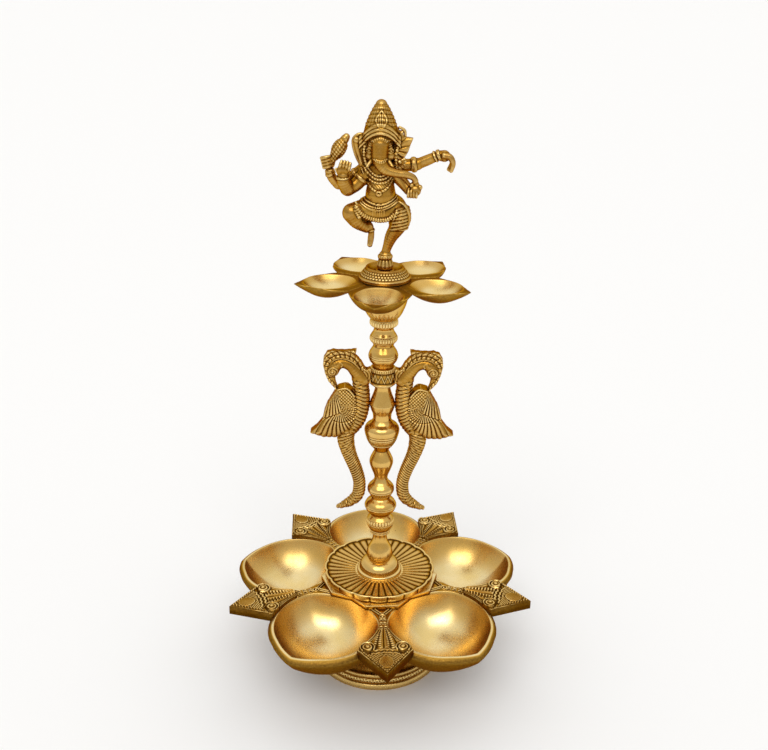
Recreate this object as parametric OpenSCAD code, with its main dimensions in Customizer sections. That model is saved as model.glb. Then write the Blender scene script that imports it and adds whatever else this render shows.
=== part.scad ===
// Standing oil lamp turned and cast in brass: a foot ring, a tray of five large oil bowls, a stem of
// screwed sections with a pair of peacocks, a small five-petal tray and a dancing figure on top.
// Origin: centre of the foot's underside, on the stem's axis. +Z is up and -Y is the front.

/* [Lower tray] */
// Height of the lower tray's rim above the floor
rim_z = 72; // [70:1:75]
// Distance from the axis to the point of each ornament between two bowls
tip_r = 122; // [119:1:124]
// Distance from the axis to the middle of each large bowl
bowl_r = 72.2; // [71.8:0.2:72.6]
// Radius of a large bowl's hollow at its rim
bowl_mouth_r = 38.9; // [38.5:0.2:39.3]
// Depth of a large bowl's hollow
bowl_depth = 29; // [28:0.5:30]
// Outward lean of a large bowl's rim, in degrees
bowl_tilt = 3; // [2.5:0.5:3.5]
// Wall thickness of a large bowl
bowl_wall = 4.4; // [4:0.2:4.8]
// Turn of the ornaments away from straight ahead, in degrees
lower_turn = 3.4; // [0:0.2:8]

/* [Upper tray] */
// Distance from the axis to the point of each petal
petal_tip_r = 63.7; // [62:0.1:65]
// Distance from the axis to the middle of each small bowl
petal_r = 41; // [40.5:0.5:41.5]
// Radius of a small bowl's hollow at its rim
petal_mouth_r = 17.8; // [17:0.2:18.4]
// Depth of a small bowl's hollow
petal_depth = 9; // [8:0.5:9.5]
// Turn of the petals away from straight ahead, in degrees
upper_turn = -5.6; // [-10:0.2:0]

/* [Screws] */
// Radius of the studs between the stem sections
stud_r = 3; // [2.9:0.1:3]
// Pitch of their thread
stud_pitch = 1; // [0.8:0.1:1]
// Radius of the stud that ties the foot, the tray and the stem together
tie_r = 4; // [3.5:0.1:4]
// Radius of the long stud under the figure
figure_stud_r = 2.5; // [2.2:0.1:2.5]
// Radial gap between a stud or spigot and its bore
running_gap = 0.05; // [0.02:0.01:0.08]

/* [Hidden] */
$fn = 72;
bowls = 5;
bowl_pitch = 360 / bowls;
gold = "#c8982f";
dark_gold = "#a87a25";
steel = "#8c8c88";

// How far the middle of a large bowl's rim lies below the tray's rim, and the turn of round seams
bowl_drop = 2;
seam_turn = 20;

// Seat heights of the stacked pieces, above the floor
hub_bottom_z = rim_z - 26;
pad_h = 3;
disc_z = rim_z + pad_h;
cone_z = disc_z + 4;
pear_z = cone_z + 11.6;
lower_stem_z = pear_z + 23;
middle_stem_z = lower_stem_z + 31.4;
collar_seat_h = 95.4;
collar_h = 13.6;
collar_z = middle_stem_z + collar_seat_h;
spigot_r = 5.6;
spigot_h = collar_h + 0.1;
upper_stem_z = collar_z + spigot_h;
upper_stem_h = 32;
cup_z = upper_stem_z + upper_stem_h;
hub_under_z = cup_z + 23;
petal_hub_h = 11.9;
petal_rim_z = hub_under_z + petal_hub_h;
boss_seat_h = 7.5;
figure_z = petal_rim_z + boss_seat_h;

// Screw and stud lengths
stud_down = 10;
stud_up = 12;
stud_end_gap = 1;
tie_bottom_z = hub_bottom_z - 15;
tie_top = 9;
tie_pitch = 1.25;
washer_h = 1.6;
nut_h = 6.5;
foot_plate_h = 3.5;
figure_stud_bottom_z = cup_z + 4.5;
figure_stud_up = 9;
figure_stud_pitch = 0.8;

// Rivets and arm ends of the peacocks, the cup's spigot, and how finely the figure's limbs are rounded
rivet_r = 1.6;
rivet_len = 7;
rivet_x = 10.5;
arm_end = 14.5;
cup_spigot_r = 5;
cup_spigot_h = 3.4;
body_sides = 10;

// A plan point turned about the axis
function turned_by(p, angle) = [p[0] * cos(angle) - p[1] * sin(angle), p[0] * sin(angle) + p[1] * cos(angle)];

// A point of a Catmull-Rom curve between p1 and p2
function curve_point(p0, p1, p2, p3, t) =
    0.5 * (2 * p1 + (p2 - p0) * t + (2 * p0 - 5 * p1 + 4 * p2 - p3) * t * t
    + (3 * p1 - p0 - 3 * p2 + p3) * t * t * t);

// The listed points joined by a smooth curve, with a few steps between each pair
function smooth(points, steps = 3) =
    let (last = len(points) - 1)
    [for (i = [0 : last - 1], s = [0 : steps - 1])
        curve_point(points[max(i - 1, 0)], points[i], points[i + 1], points[min(i + 2, last)], s / steps),
     points[last]];

// A turned solid whose outline runs up the given [radius, height] points
module turned(outline, height) {
    rotate_extrude() polygon(concat([[0, 0]], outline, [[0, height]]));
}

// A hole of the given radius on the axis, from one height to another
module axial_bore(r, z0, z1) {
    translate([0, 0, z0]) cylinder(h = z1 - z0, r = r);
}

// A threaded rod standing on the axis, its thread shown as rings one pitch apart
module threaded_rod(r, length, pitch) {
    rings = floor(length / pitch) - 1;
    depth = 0.55 * pitch;
    start = (length - rings * pitch) / 2;
    outline = [for (i = [0 : rings - 1], p = [[r, 0.1], [r - depth, 0.5], [r, 0.9]])
        [p[0], start + (i + p[1]) * pitch]];
    rotate_extrude() polygon(concat([[0, 0], [r - depth, 0], [r, start / 2]], outline,
        [[r, length - start / 2], [r - depth, length], [0, length]]));
}

// Radius of the sphere whose cap has the given rim radius and depth
function cap_sphere_r(rim_r, depth) = (rim_r * rim_r + depth * depth) / (2 * depth);

// Points of a cap's arc from the rim at z = 0 down to the axis, as [radius, height]
function cap_arc(rim_r, depth, steps = 7) =
    let (r = cap_sphere_r(rim_r, depth), half = asin(rim_r / r))
    [for (i = [0 : steps]) let (a = half * (1 - i / steps)) [r * sin(a), r - depth - r * cos(a)]];

// A solid cap hanging below z = 0, with the given rim radius and depth
module cap_below(rim_r, depth) {
    rotate_extrude() polygon(concat([[0, 0]], cap_arc(rim_r, depth)));
}

// The hollow of a bowl, open upwards through anything above its rim
module bowl_hollow(rim_r, depth, above) {
    rotate_extrude() polygon(concat([[0, above], [rim_r, above]], cap_arc(rim_r, depth)));
}

// Children repeated around the axis, one for each bowl
module around(turn) {
    for (i = [0 : bowls - 1]) rotate([0, 0, turn + i * bowl_pitch]) children();
}

// Foot, hollow underneath, with a plain ring, a rope band, a thin ring and a plate for the tray
module foot_pedestal() {
    outside = [[50.4, 0], [51, 0.8], [51, 4], [50, 5.2], [48.9, 5.6], [48.9, 6], [49.9, 6.8],
        [50, 8], [49.3, 9.2], [48.3, 9.7], [48.2, 10.2], [48.9, 11], [48.7, 12.4], [47.4, 13.4],
        [45.6, 14.2]];
    cove = smooth([[45.6, 14.2], [40, 21], [35.5, 29], [32.6, 37.5], [31, hub_bottom_z]]);
    inside = smooth([[28, hub_bottom_z - foot_plate_h], [29.6, 36], [33, 27], [38.5, 16.5],
        [43.5, 7], [46, 0]]);
    color(gold) difference() {
        rotate_extrude() polygon(concat(outside, cove, [[0, hub_bottom_z],
            [0, hub_bottom_z - foot_plate_h]], inside));
        axial_bore(tie_r + running_gap, hub_bottom_z - foot_plate_h - 1, hub_bottom_z + 1);
    }
}

// Washer under the foot's plate
module tie_washer() {
    color(steel) translate([0, 0, hub_bottom_z - foot_plate_h - washer_h]) difference() {
        cylinder(h = washer_h, r = 11);
        axial_bore(tie_r + running_gap, -1, washer_h + 1);
    }
}

// Hexagonal nut that pulls the tie stud down
module tie_nut() {
    across_corners_r = 7.5;
    color(steel) translate([0, 0, hub_bottom_z - foot_plate_h - washer_h - nut_h]) difference() {
        cylinder(h = nut_h, r = across_corners_r, $fn = 6);
        axial_bore(tie_r + running_gap, -1, nut_h + 1);
    }
}

// Stud from the nut up through the foot, tray, disc and cone into the pear-shaped section
module tie_stud() {
    color(steel) translate([0, 0, tie_bottom_z])
        threaded_rod(tie_r, pear_z + tie_top - tie_bottom_z, tie_pitch);
}

// Plan of the pointed ornament between two bowls, along +X
module ornament_plan() {
    polygon([[25, -12], [68, -12], [94.5, -20], [tip_r, 0], [94.5, 20], [68, 12], [25, 12]]);
}

// Children placed at the rim of each large bowl, with the bowl's lean
module at_bowls() {
    around(lower_turn - 90 + bowl_pitch / 2) translate([bowl_r, 0, rim_z - bowl_drop])
        rotate([0, bowl_tilt, 0]) children();
}

// Hub plate with five flattened sides, between the bowls and the lotus disc
module hub_plate(height) {
    flat_r = 44.5;
    flat_half = 12.3;
    notch_r = 39.4;
    linear_extrude(height) polygon([for (k = [0:bowls - 1]) each [
        turned_by([flat_r, -flat_half], lower_turn - 90 + k * bowl_pitch),
        turned_by([flat_r, flat_half], lower_turn - 90 + k * bowl_pitch),
        turned_by([notch_r, 0], lower_turn - 90 + (k + 0.5) * bowl_pitch)]]);
}

// Tray of five large bowls around a hub, with a pointed ornament between each pair
module lower_tray() {
    outer_r = bowl_mouth_r + bowl_wall;
    lip_out = outer_r + 3.2;
    plate_h = 7;
    ornament_rise = 1.5;
    hub_r = 31;
    color(gold) difference() {
        union() {
            difference() {
                union() {
                    at_bowls() rotate([0, 0, seam_turn]) cap_below(outer_r, bowl_depth + bowl_wall);
                    at_bowls() translate([0, 0, -4]) linear_extrude(3.6)
                        polygon([[36, -24], [lip_out, 0], [36, 24]]);
                    translate([0, 0, rim_z - plate_h + 1]) around(lower_turn - 90)
                        linear_extrude(plate_h - 1 + ornament_rise) ornament_plan();
                }
                at_bowls() rotate([0, 0, seam_turn]) bowl_hollow(bowl_mouth_r, bowl_depth, 12);
            }
            translate([0, 0, rim_z - 1]) hub_plate(1 + pad_h);
            translate([0, 0, hub_bottom_z]) cylinder(h = rim_z - hub_bottom_z - plate_h / 2, r = hub_r);
        }
        axial_bore(tie_r + running_gap, hub_bottom_z - 1, disc_z + 1);
    }
}

// Round seat plate, slightly dished, between the tray and the stem
module lotus_disc() {
    disc_r = 42.6;
    outline = [[35, 0], [disc_r - 2.2, 0.6], [disc_r - 0.4, 2.2], [disc_r, 4.2], [disc_r - 0.8, 6.2],
        [disc_r - 2.4, 7], [37, 6.6], [28, 5.2], [20, 4], [17.6, 4]];
    color(dark_gold) translate([0, 0, disc_z]) difference() {
        turned(outline, 4);
        axial_bore(tie_r + running_gap, -1, 9);
    }
}

// Dome with a seat ring that carries the stem
module base_cone() {
    outline = concat([[17.6, 0], [17.6, 1.6], [16.8, 2.6], [15.4, 2.9]],
        smooth([[15.4, 2.9], [15.2, 5.4], [13.7, 8.4], [11.2, 10.6], [8.4, 11.6]]));
    color(gold) translate([0, 0, cone_z]) difference() {
        turned(outline, 11.6);
        axial_bore(tie_r + running_gap, -1, 13);
    }
}

// Pear-shaped bottom section of the stem
module pear_section() {
    height = lower_stem_z - pear_z;
    outline = smooth([[8.4, 0], [9.9, 1.6], [10.3, 4.2], [9.2, 9.2], [6.5, 14.8], [5.45, 19.3],
        [5.35, height]]);
    color(gold) translate([0, 0, pear_z]) difference() {
        turned(outline, height);
        axial_bore(tie_r + running_gap, -1, tie_top + stud_end_gap);
        axial_bore(stud_r + running_gap, height - stud_down - stud_end_gap, height + 1);
    }
}

// Stud between two stem sections whose joint is at the given height
module stem_stud(joint_z) {
    color(steel) translate([0, 0, joint_z - stud_down])
        threaded_rod(stud_r, stud_down + stud_up, stud_pitch);
}

// Stem section with a beaded ball and a plain bulge
module lower_stem() {
    height = middle_stem_z - lower_stem_z;
    outline = concat([[7.6, 0], [7.6, 1.4], [7, 1.8], [8, 2.2], [8, 3.4]],
        smooth([[8, 3.4], [9.8, 6.2], [10.8, 10.6], [9.9, 13.8], [7.5, 16.3]]),
        smooth([[7.5, 16.3], [8.2, 18.2], [11.1, 21.6], [12.2, 25.2], [10.2, 28.8], [7.2, height]]));
    color(gold) translate([0, 0, lower_stem_z]) difference() {
        turned(outline, height);
        axial_bore(stud_r + running_gap, -1, stud_up + stud_end_gap);
        axial_bore(stud_r + running_gap, height - stud_down - stud_end_gap, height + 1);
    }
}

// Long stem section: beaded ring, vase, roped bulge, upper vase and the collar's spigot
module middle_stem() {
    outline = concat(
        smooth([[7.2, 0], [8.5, 3.5], [10.2, 7.1], [9.6, 9.7], [6.8, 13.2], [4.95, 16.7]]),
        smooth([[4.95, 16.7], [5.6, 20.1], [7.3, 24.5], [8.9, 29.6], [8.7, 33.1], [7.1, 37.3],
            [5.3, 40.7]]),
        smooth([[5.3, 40.7], [6.7, 43.3], [8.3, 45], [11, 50], [12.45, 54.2], [13.2, 58.4],
            [11.65, 61.7], [8.3, 64.2], [6.9, 66.7]]),
        smooth([[6.9, 66.7], [7.1, 70.9], [8.6, 75], [9.7, 79.1]]),
        smooth([[9.7, 79.1], [8.55, 83.1], [7.05, 87.2], [5.9, 91.2], [5.8, 94]]),
        [[8, collar_seat_h - 0.9], [8, collar_seat_h], [spigot_r, collar_seat_h],
            [spigot_r, collar_seat_h + spigot_h]]);
    height = collar_seat_h + spigot_h;
    color(gold) translate([0, 0, middle_stem_z]) difference() {
        turned(outline, height);
        axial_bore(stud_r + running_gap, -1, stud_up + stud_end_gap);
        axial_bore(stud_r + running_gap, height - stud_down - stud_end_gap, height + 1);
    }
}

// Ring that turns on the spigot, with an arm to each peacock
module peacock_collar() {
    arm_t = 7;
    bead_r = 9.4;
    outline = [[bead_r, 0], [bead_r, 1.6], [8.5, 2.2], [8.5, collar_h - 3.4], [bead_r, collar_h - 2.6],
        [bead_r, collar_h - 0.6], [8.6, collar_h]];
    color(gold) translate([0, 0, collar_z]) difference() {
        union() {
            turned(outline, collar_h);
            for (side = [-1, 1]) translate([side * (arm_end + 7) / 2, 0, collar_h / 2])
                cube([arm_end - 7, arm_t, collar_h - 2], center = true);
        }
        axial_bore(spigot_r + running_gap, -1, collar_h + 1);
        for (side = [-1, 1]) translate([side * (arm_end - 4), 0, collar_h / 2])
            rotate([0, side * 90, 0]) cylinder(h = 6, r = rivet_r, $fn = 24);
    }
}

// Rivet from each arm into its peacock's shoulder
module peacock_rivets() {
    color(steel) for (side = [-1, 1]) translate([side * rivet_x, 0, collar_z + collar_h / 2])
        rotate([0, side * 90, 0]) cylinder(h = rivet_len, r = rivet_r, $fn = 24);
}

// Rounded limb through [x, z, radius] joints, each with its y as a fourth number where that isn't 0
module limb(joints, sides = 16) {
    for (i = [0 : len(joints) - 2]) hull() for (j = [joints[i], joints[i + 1]])
        translate([j[0], len(j) > 3 ? j[3] : 0, j[1]]) sphere(r = j[2], $fn = sides);
}

// Peacock with an arched neck, a crest, folded wings and a long curled tail, on the +X side
module peacock() {
    z0 = rim_z;
    wing_t = 11;
    color(dark_gold) difference() {
        translate([0, 0, z0]) {
            limb([[18, 173, 5.5], [19, 180, 6], [25, 184.5, 5.2], [32, 185, 5.6], [37.5, 179, 5.8],
                [37, 171, 3.6], [34, 165, 2]]);
            limb([[17, 184, 2.6], [21, 191, 3], [29, 191.5, 3], [38.5, 190.5, 3], [41.5, 184, 2.8],
                [40, 175, 2.6], [36.5, 167, 2]]);
            limb([[18.5, 173, 5.5], [17.2, 162, 6.4], [17, 150, 6.8], [20.5, 137, 6], [26, 130, 6]]);
            limb([[26, 130, 6.5], [27.5, 124, 6.6], [24, 110, 5.2], [18.2, 96, 4.8], [15.5, 84, 4.7],
                [17.8, 73, 4.5], [25.6, 67, 3.4], [31.5, 63.6, 2]]);
            translate([0, wing_t / 2, 0]) rotate([90, 0, 0]) linear_extrude(wing_t)
                polygon([[32, 166], [23, 163], [17, 152], [18, 141], [22, 134], [30, 127.5], [43, 125.5],
                    [54, 129.5], [49, 134], [44, 139], [42, 147], [39, 155], [36, 161]]);
        }
        translate([0, -10, z0 + 164]) cube([arm_end, 20, 24]);
    }
}

// Peacock on the left of the stem
module peacock_left() {
    mirror([1, 0, 0]) peacock();
}

// Peacock on the right of the stem
module peacock_right() {
    peacock();
}

// Stem section above the collar: a bulge and a knurled ring
module upper_stem() {
    outline = concat(
        smooth([[7.2, 0], [8.4, 3.1], [10.1, 5.5], [11, 8.6], [10.2, 12.4], [9.1, 14], [7.3, 16.4]]),
        smooth([[7.3, 16.4], [8.2, 19.5], [10.2, 22.6], [9.1, 25.7], [7.2, 29.6], [8.6, upper_stem_h]]));
    color(gold) translate([0, 0, upper_stem_z]) difference() {
        turned(outline, upper_stem_h);
        axial_bore(stud_r + running_gap, -1, stud_up + stud_end_gap);
    }
    color(gold) translate([0, 0, cup_z]) cylinder(h = cup_spigot_h, r = cup_spigot_r);
}

// Bell-shaped cup that carries the upper tray
module tray_cup() {
    height = hub_under_z - cup_z;
    outline = concat([[9.2, 0], [10.2, 1.4], [10.2, 4.6], [9.9, 5.4]],
        smooth([[9.9, 5.4], [12.6, 9], [14.4, 12.8], [16, 17], [17.4, height]]));
    color(gold) translate([0, 0, cup_z]) difference() {
        turned(outline, height);
        axial_bore(cup_spigot_r, -1, cup_spigot_h);
        axial_bore(figure_stud_r + running_gap, 0, height + 1);
    }
}

// Small tray of five pointed petals, each hollowed as an oil bowl
module upper_tray() {
    wall = 1.6;
    plate_h = 3.5;
    outer_r = petal_mouth_r + wall;
    tangent = acos(outer_r / (petal_tip_r - petal_r));
    color(gold) difference() {
        union() {
            translate([0, 0, petal_rim_z]) around(upper_turn - 90) translate([petal_r, 0, 0]) {
                cap_below(outer_r, petal_depth + wall);
                translate([0, 0, -plate_h]) linear_extrude(plate_h)
                    polygon([[0, 0], [outer_r * cos(tangent), -outer_r * sin(tangent)],
                        [petal_tip_r - petal_r, 0], [outer_r * cos(tangent), outer_r * sin(tangent)]]);
            }
            translate([0, 0, petal_rim_z - plate_h]) cylinder(h = plate_h, r = 36);
            translate([0, 0, hub_under_z]) cylinder(h = petal_rim_z - hub_under_z, r = 18.4);
        }
        translate([0, 0, petal_rim_z]) around(upper_turn - 90) translate([petal_r, 0, 0])
            bowl_hollow(petal_mouth_r, petal_depth, 5);
        axial_bore(figure_stud_r + running_gap, hub_under_z - 1, petal_rim_z + 1);
    }
}

// Knurled ring with a dished top that the figure stands in
module tray_boss() {
    outline = concat([[18.7, 0], [18.7, 2.6], [17.9, 3]], smooth([[17.9, 3], [16.4, 5.6], [14, 8],
        [13.2, 9]]), [[12.2, 9.3], [11.4, 8.8], [9.4, 7], [7.4, 6.6], [6.8, boss_seat_h]]);
    color(gold) translate([0, 0, petal_rim_z]) difference() {
        turned(outline, boss_seat_h);
        axial_bore(figure_stud_r + running_gap, -1, 10);
    }
}

// Long stud from the figure through the boss and tray into the cup
module figure_stud() {
    color(steel) translate([0, 0, figure_stud_bottom_z]) threaded_rod(figure_stud_r,
        figure_z + figure_stud_up - figure_stud_bottom_z, figure_stud_pitch);
}

// Four-armed dancing figure with an elephant's head, standing on one leg
module dancing_figure() {
    foot = concat([[5, 0], [5.8, 2], [5.6, 4.6], [4.6, 7], [5, 8.4]],
        smooth([[5, 8.4], [5.2, 10], [3.4, 12.4]]));
    color(gold) translate([0, 0, figure_z]) difference() {
        union() {
            turned(foot, 12.4);
            figure_legs();
            figure_trunk_and_head();
            figure_arms();
        }
        axial_bore(figure_stud_r + running_gap, -1, figure_stud_up + stud_end_gap);
    }
}

// Standing leg, raised leg and skirt; points are [x, z, radius, y]
module figure_legs() {
    limb([[0, 11.5, 3, 0], [4, 23, 4.4, -0.5], [8.5, 33, 7, -1],
        [7, 42, 8, -1], [0, 47, 8.5, 0]], body_sides);
    limb([[-6, 45, 8, -2], [-25, 42, 6.6, -7], [-14, 30.5, 4, -6], [-12, 25, 2.6, -5],
        [-12, 17.5, 2.4, -6.5]], body_sides);
    limb([[-13, 45, 6.4, 0], [6, 45, 6.4, 0]], body_sides);
    limb([[-5, 41.5, 5.6, -3.5], [-4, 50, 9, 0]], body_sides);
}

// Body, head, crown, ears and trunk
module figure_trunk_and_head() {
    limb([[-4, 52, 10.5, -2], [-4, 60, 9.6, -1], [-4, 68, 8.6, 0]], body_sides);
    limb([[-15, 69, 4, 0], [7, 69, 4, 0]], body_sides);
    limb([[-5, 82, 8.8, 0], [-5, 88, 8.6, 0]], body_sides);
    limb([[-5, 93, 10.6, 0], [-5, 104, 7.4, 0], [-5, 114, 2.4, 0]], body_sides);
    limb([[-14, 92, 3, 0], [-20, 87, 4, 0], [-16, 78, 3, 0], [-10, 80, 4, 0]], body_sides);
    limb([[4, 93, 3.4, 0], [11.5, 89, 4.2, 0], [9, 80, 3.4, 0], [2, 80, 4, 0]], body_sides);
    limb([[-5, 84, 5.4, -5], [-5, 76, 4, -10], [0, 70, 3, -11], [8, 68.5, 2.6, -11],
        [16, 66.5, 2.4, -10.5]], body_sides);
}

// Four arms with what the hands hold
module figure_arms() {
    limb([[-14, 68, 4, 0], [-29, 57.5, 3.6, -5], [-29, 67, 3, -8], [-28, 73, 2.6, -8]], body_sides);
    limb([[-14, 71, 4, 3], [-33, 58, 3.4, 3], [-39, 70, 3.6, 1], [-38, 77, 3.6, 0], [-33, 83, 4.4, 0],
        [-27, 91, 2.4, 0]], body_sides);
    limb([[6, 73, 4, 3], [19, 74, 4, 3], [36, 80.5, 3.4, 1],
        [43, 79, 3, 0], [43.5, 71.5, 2.2, 0]], body_sides);
    limb([[6, 67, 4, 0], [15, 58.5, 3.4, -4], [20, 60, 4.6, -8], [18, 65, 3, -9]], body_sides);
}

foot_pedestal();
tie_washer();
tie_nut();
tie_stud();
lower_tray();
lotus_disc();
base_cone();
pear_section();
stem_stud(lower_stem_z);  // lower_stud
lower_stem();
stem_stud(middle_stem_z);  // middle_stud
middle_stem();
peacock_collar();
peacock_left();
peacock_right();
peacock_rivets();
stem_stud(upper_stem_z);  // upper_stud
upper_stem();
tray_cup();
upper_tray();
tray_boss();
figure_stud();
dancing_figure();
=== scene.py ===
import math

import bpy
import numpy as np
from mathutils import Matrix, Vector


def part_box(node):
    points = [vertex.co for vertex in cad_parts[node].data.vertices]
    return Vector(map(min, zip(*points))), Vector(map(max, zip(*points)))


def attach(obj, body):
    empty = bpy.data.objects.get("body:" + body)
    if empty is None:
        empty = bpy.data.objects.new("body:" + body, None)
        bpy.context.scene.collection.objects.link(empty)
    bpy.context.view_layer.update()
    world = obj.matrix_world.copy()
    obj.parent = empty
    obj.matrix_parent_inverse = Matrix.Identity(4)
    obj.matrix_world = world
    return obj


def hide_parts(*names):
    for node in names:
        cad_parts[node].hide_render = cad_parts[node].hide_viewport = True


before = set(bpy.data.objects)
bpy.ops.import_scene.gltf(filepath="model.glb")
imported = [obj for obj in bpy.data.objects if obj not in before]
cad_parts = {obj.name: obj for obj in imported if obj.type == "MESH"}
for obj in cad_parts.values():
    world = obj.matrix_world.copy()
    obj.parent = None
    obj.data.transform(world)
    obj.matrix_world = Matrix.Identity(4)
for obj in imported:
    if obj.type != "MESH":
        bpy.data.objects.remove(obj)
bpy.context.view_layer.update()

MM = 0.001
BOWLS = 5
LOWER_TURN = 3.4
UPPER_TURN = -5.6
BORE_EDGE = 4

# ---------------------------------------------------------------- curves and grids


def curve(points, steps=6):
    """Catmull-Rom curve through points, with the given steps between each pair."""
    p = np.array(points, float)
    out = []
    for i in range(len(p) - 1):
        before, start, end, after = p[max(i - 1, 0)], p[i], p[i + 1], p[min(i + 2, len(p) - 1)]
        for t in np.arange(steps) / steps:
            out.append(0.5 * (2 * start + (end - before) * t
                              + (2 * before - 5 * start + 4 * end - after) * t ** 2
                              + (3 * start - before - 3 * end + after) * t ** 3))
    out.append(p[-1])
    return [tuple(q) for q in out]


def join(*runs):
    """One outline from several runs of points, without the points that repeat."""
    out = []
    for run in runs:
        for q in run:
            if not out or max(abs(a - b) for a, b in zip(q, out[-1])) > 1e-6:
                out.append(tuple(q))
    return out


def refine(points, step):
    """The same outline with no two neighbours further apart than step."""
    out = [points[0]]
    for a, b in zip(points, points[1:]):
        a, b = np.array(a, float), np.array(b, float)
        parts = max(1, math.ceil(np.linalg.norm(b - a) / step))
        out += [tuple(a + (b - a) * (k + 1) / parts) for k in range(parts)]
    return out


def circle_angles(columns):
    return np.arange(columns) * 2 * math.pi / columns


def arc_of(distance, half, height=1.0):
    """A round ridge of the given height where distance is near 0, falling to 0 at half on both sides."""
    return height * np.sqrt(np.clip(1 - (distance / half) ** 2, 0, 1))


def ridge(phase, power=0.5):
    """A row of round ridges, one for each half turn of phase, from 0 in the grooves to 1 on the crests."""
    return np.abs(np.sin(phase)) ** power


def smooth_step(x):
    x = np.clip(x, 0, 1)
    return x * x * (3 - 2 * x)


def ring_surface(rings, loop=False):
    """A closed surface through rings of points. Without loop, both ends close at a pole."""
    rings = np.asarray(rings, float)
    rows, columns = rings.shape[:2]
    verts = rings.reshape(-1, 3)
    index = np.arange(rows * columns).reshape(rows, columns)
    lower = index if loop else index[:-1]
    upper = np.roll(index, -1, 0) if loop else index[1:]
    quads = np.stack([lower, np.roll(lower, -1, 1), np.roll(upper, -1, 1), upper], -1).reshape(-1, 4)
    faces = quads.tolist()
    if not loop:
        first, last = rows * columns, rows * columns + 1
        verts = np.vstack([verts, rings[0].mean(0), rings[-1].mean(0)])
        for k in range(columns):
            n = (k + 1) % columns
            faces.append([first, int(index[0, n]), int(index[0, k])])
            faces.append([last, int(index[-1, k]), int(index[-1, n])])
    return verts, faces


def merge(*shells):
    """Several (vertices, faces) shells as one."""
    verts, faces, start = [], [], 0
    for v, f in shells:
        verts.append(np.asarray(v, float))
        faces += [[i + start for i in face] for face in f]
        start += len(v)
    return np.vstack(verts), faces


def turned_about_z(shell, degrees):
    a = math.radians(degrees)
    turn = np.array([[math.cos(a), math.sin(a), 0], [-math.sin(a), math.cos(a), 0], [0, 0, 1]])
    return np.asarray(shell[0]) @ turn, shell[1]


def tilted(shell, degrees):
    """A shell leaned about Y, so that its +X side goes down."""
    a = math.radians(degrees)
    lean = np.array([[math.cos(a), 0, -math.sin(a)], [0, 1, 0], [math.sin(a), 0, math.cos(a)]])
    return np.asarray(shell[0]) @ lean, shell[1]


def moved(shell, x=0, y=0, z=0):
    return np.asarray(shell[0]) + np.array([x, y, z]), shell[1]


def around(shell, turn):
    """Five copies of a shell round the axis."""
    return merge(*[turned_about_z(shell, turn + k * 360 / BOWLS) for k in range(BOWLS)])


# ---------------------------------------------------------------- pieces


def neighbour_mean(values, edges, count):
    """Each vertex's values averaged with its neighbours'."""
    total = values.copy()
    for axis in range(values.shape[1]):
        total[:, axis] += np.bincount(edges[:, 0], values[edges[:, 1], axis], count)
        total[:, axis] += np.bincount(edges[:, 1], values[edges[:, 0], axis], count)
    degree = 1 + np.bincount(edges[:, 0], minlength=count) + np.bincount(edges[:, 1], minlength=count)
    return total / degree[:, None]


def mesh_arrays(mesh):
    """Vertex places, normals and edges of a mesh as arrays."""
    count = len(mesh.vertices)
    co = np.empty(count * 3)
    normal = np.empty(count * 3)
    edges = np.empty(len(mesh.edges) * 2, int)
    mesh.vertices.foreach_get("co", co)
    mesh.vertices.foreach_get("normal", normal)
    mesh.edges.foreach_get("vertices", edges)
    return co.reshape(-1, 3), normal.reshape(-1, 3), edges.reshape(-1, 2)


def store_cavity(mesh, depth_mm, passes):
    """Stores how deep each vertex lies below its surroundings: +1 in a groove, -1 on a crest."""
    co, normal, edges = mesh_arrays(mesh)
    blurred = co.copy()
    for _ in range(passes):
        blurred = neighbour_mean(blurred, edges, len(co))
    depth = ((blurred - co) * normal).sum(1) / (depth_mm * MM)
    layer = mesh.attributes.new("cavity_and_painted_light", "FLOAT", "POINT")
    layer.data.foreach_set("value", np.clip(depth, -1, 1).astype(np.float32))


def paint_shade_and_warmth(obj, centres, shade_amount, reach=0.0, painted_warmth=0.0, flat=0.0):
    """Paints shade on walls facing away from the bowls' middles and on undersides, paints a warm reflection
    on the sides of the hollows (reach is a hollow's radius in millimetres) and darkens the flat metal between
    them."""
    co, normal, _ = mesh_arrays(obj.data)
    gap = co[:, None, :2] - np.array(centres)[None] * MM
    nearest = np.argmin((gap ** 2).sum(2), 1)
    gap = gap[np.arange(len(co)), nearest]
    distance = np.hypot(gap[:, 0], gap[:, 1]) + 1e-9
    away = (gap * normal[:, :2]).sum(1) / distance
    # painted shade: outer walls and undersides are given the stored value that the brass paints dark
    painted_shade = np.clip(away * 3.0 - 0.1, 0, 1) * np.clip((0.98 - normal[:, 2]) / 0.15, 0, 1)
    painted_shade = np.maximum(painted_shade, np.clip(-2 * normal[:, 2], 0, 1))
    values = np.empty(len(co))
    layer = obj.data.attributes["cavity_and_painted_light"]
    layer.data.foreach_get("value", values)
    values = values * (1 - painted_shade) + shade_amount * painted_shade
    if reach:
        share = distance / (reach * MM)
        # painted warm reflection on the sides of the hollows, standing in for light bounced inside them
        side = smooth_step((share - 0.5) / 0.4) * np.clip(-4 * away, 0, 1)
        values = np.maximum(values, painted_warmth * side)
        # the flat metal beyond the hollows is set darker
        level = np.clip((normal[:, 2] - 0.9) / 0.08, 0, 1) * np.clip((share - 0.9) / 0.08, 0, 1)
        values = np.where((values > -0.35) & (level > 0), np.maximum(values, flat * level), values)
    layer.data.foreach_set("value", np.clip(values, -1, 1).astype(np.float32))


def ring_of_centres(radius, turn):
    """Plan places of five things round the axis, in millimetres."""
    turns = [math.radians(turn + k * 360 / BOWLS) for k in range(BOWLS)]
    return [(radius * math.cos(t), radius * math.sin(t)) for t in turns]


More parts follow.
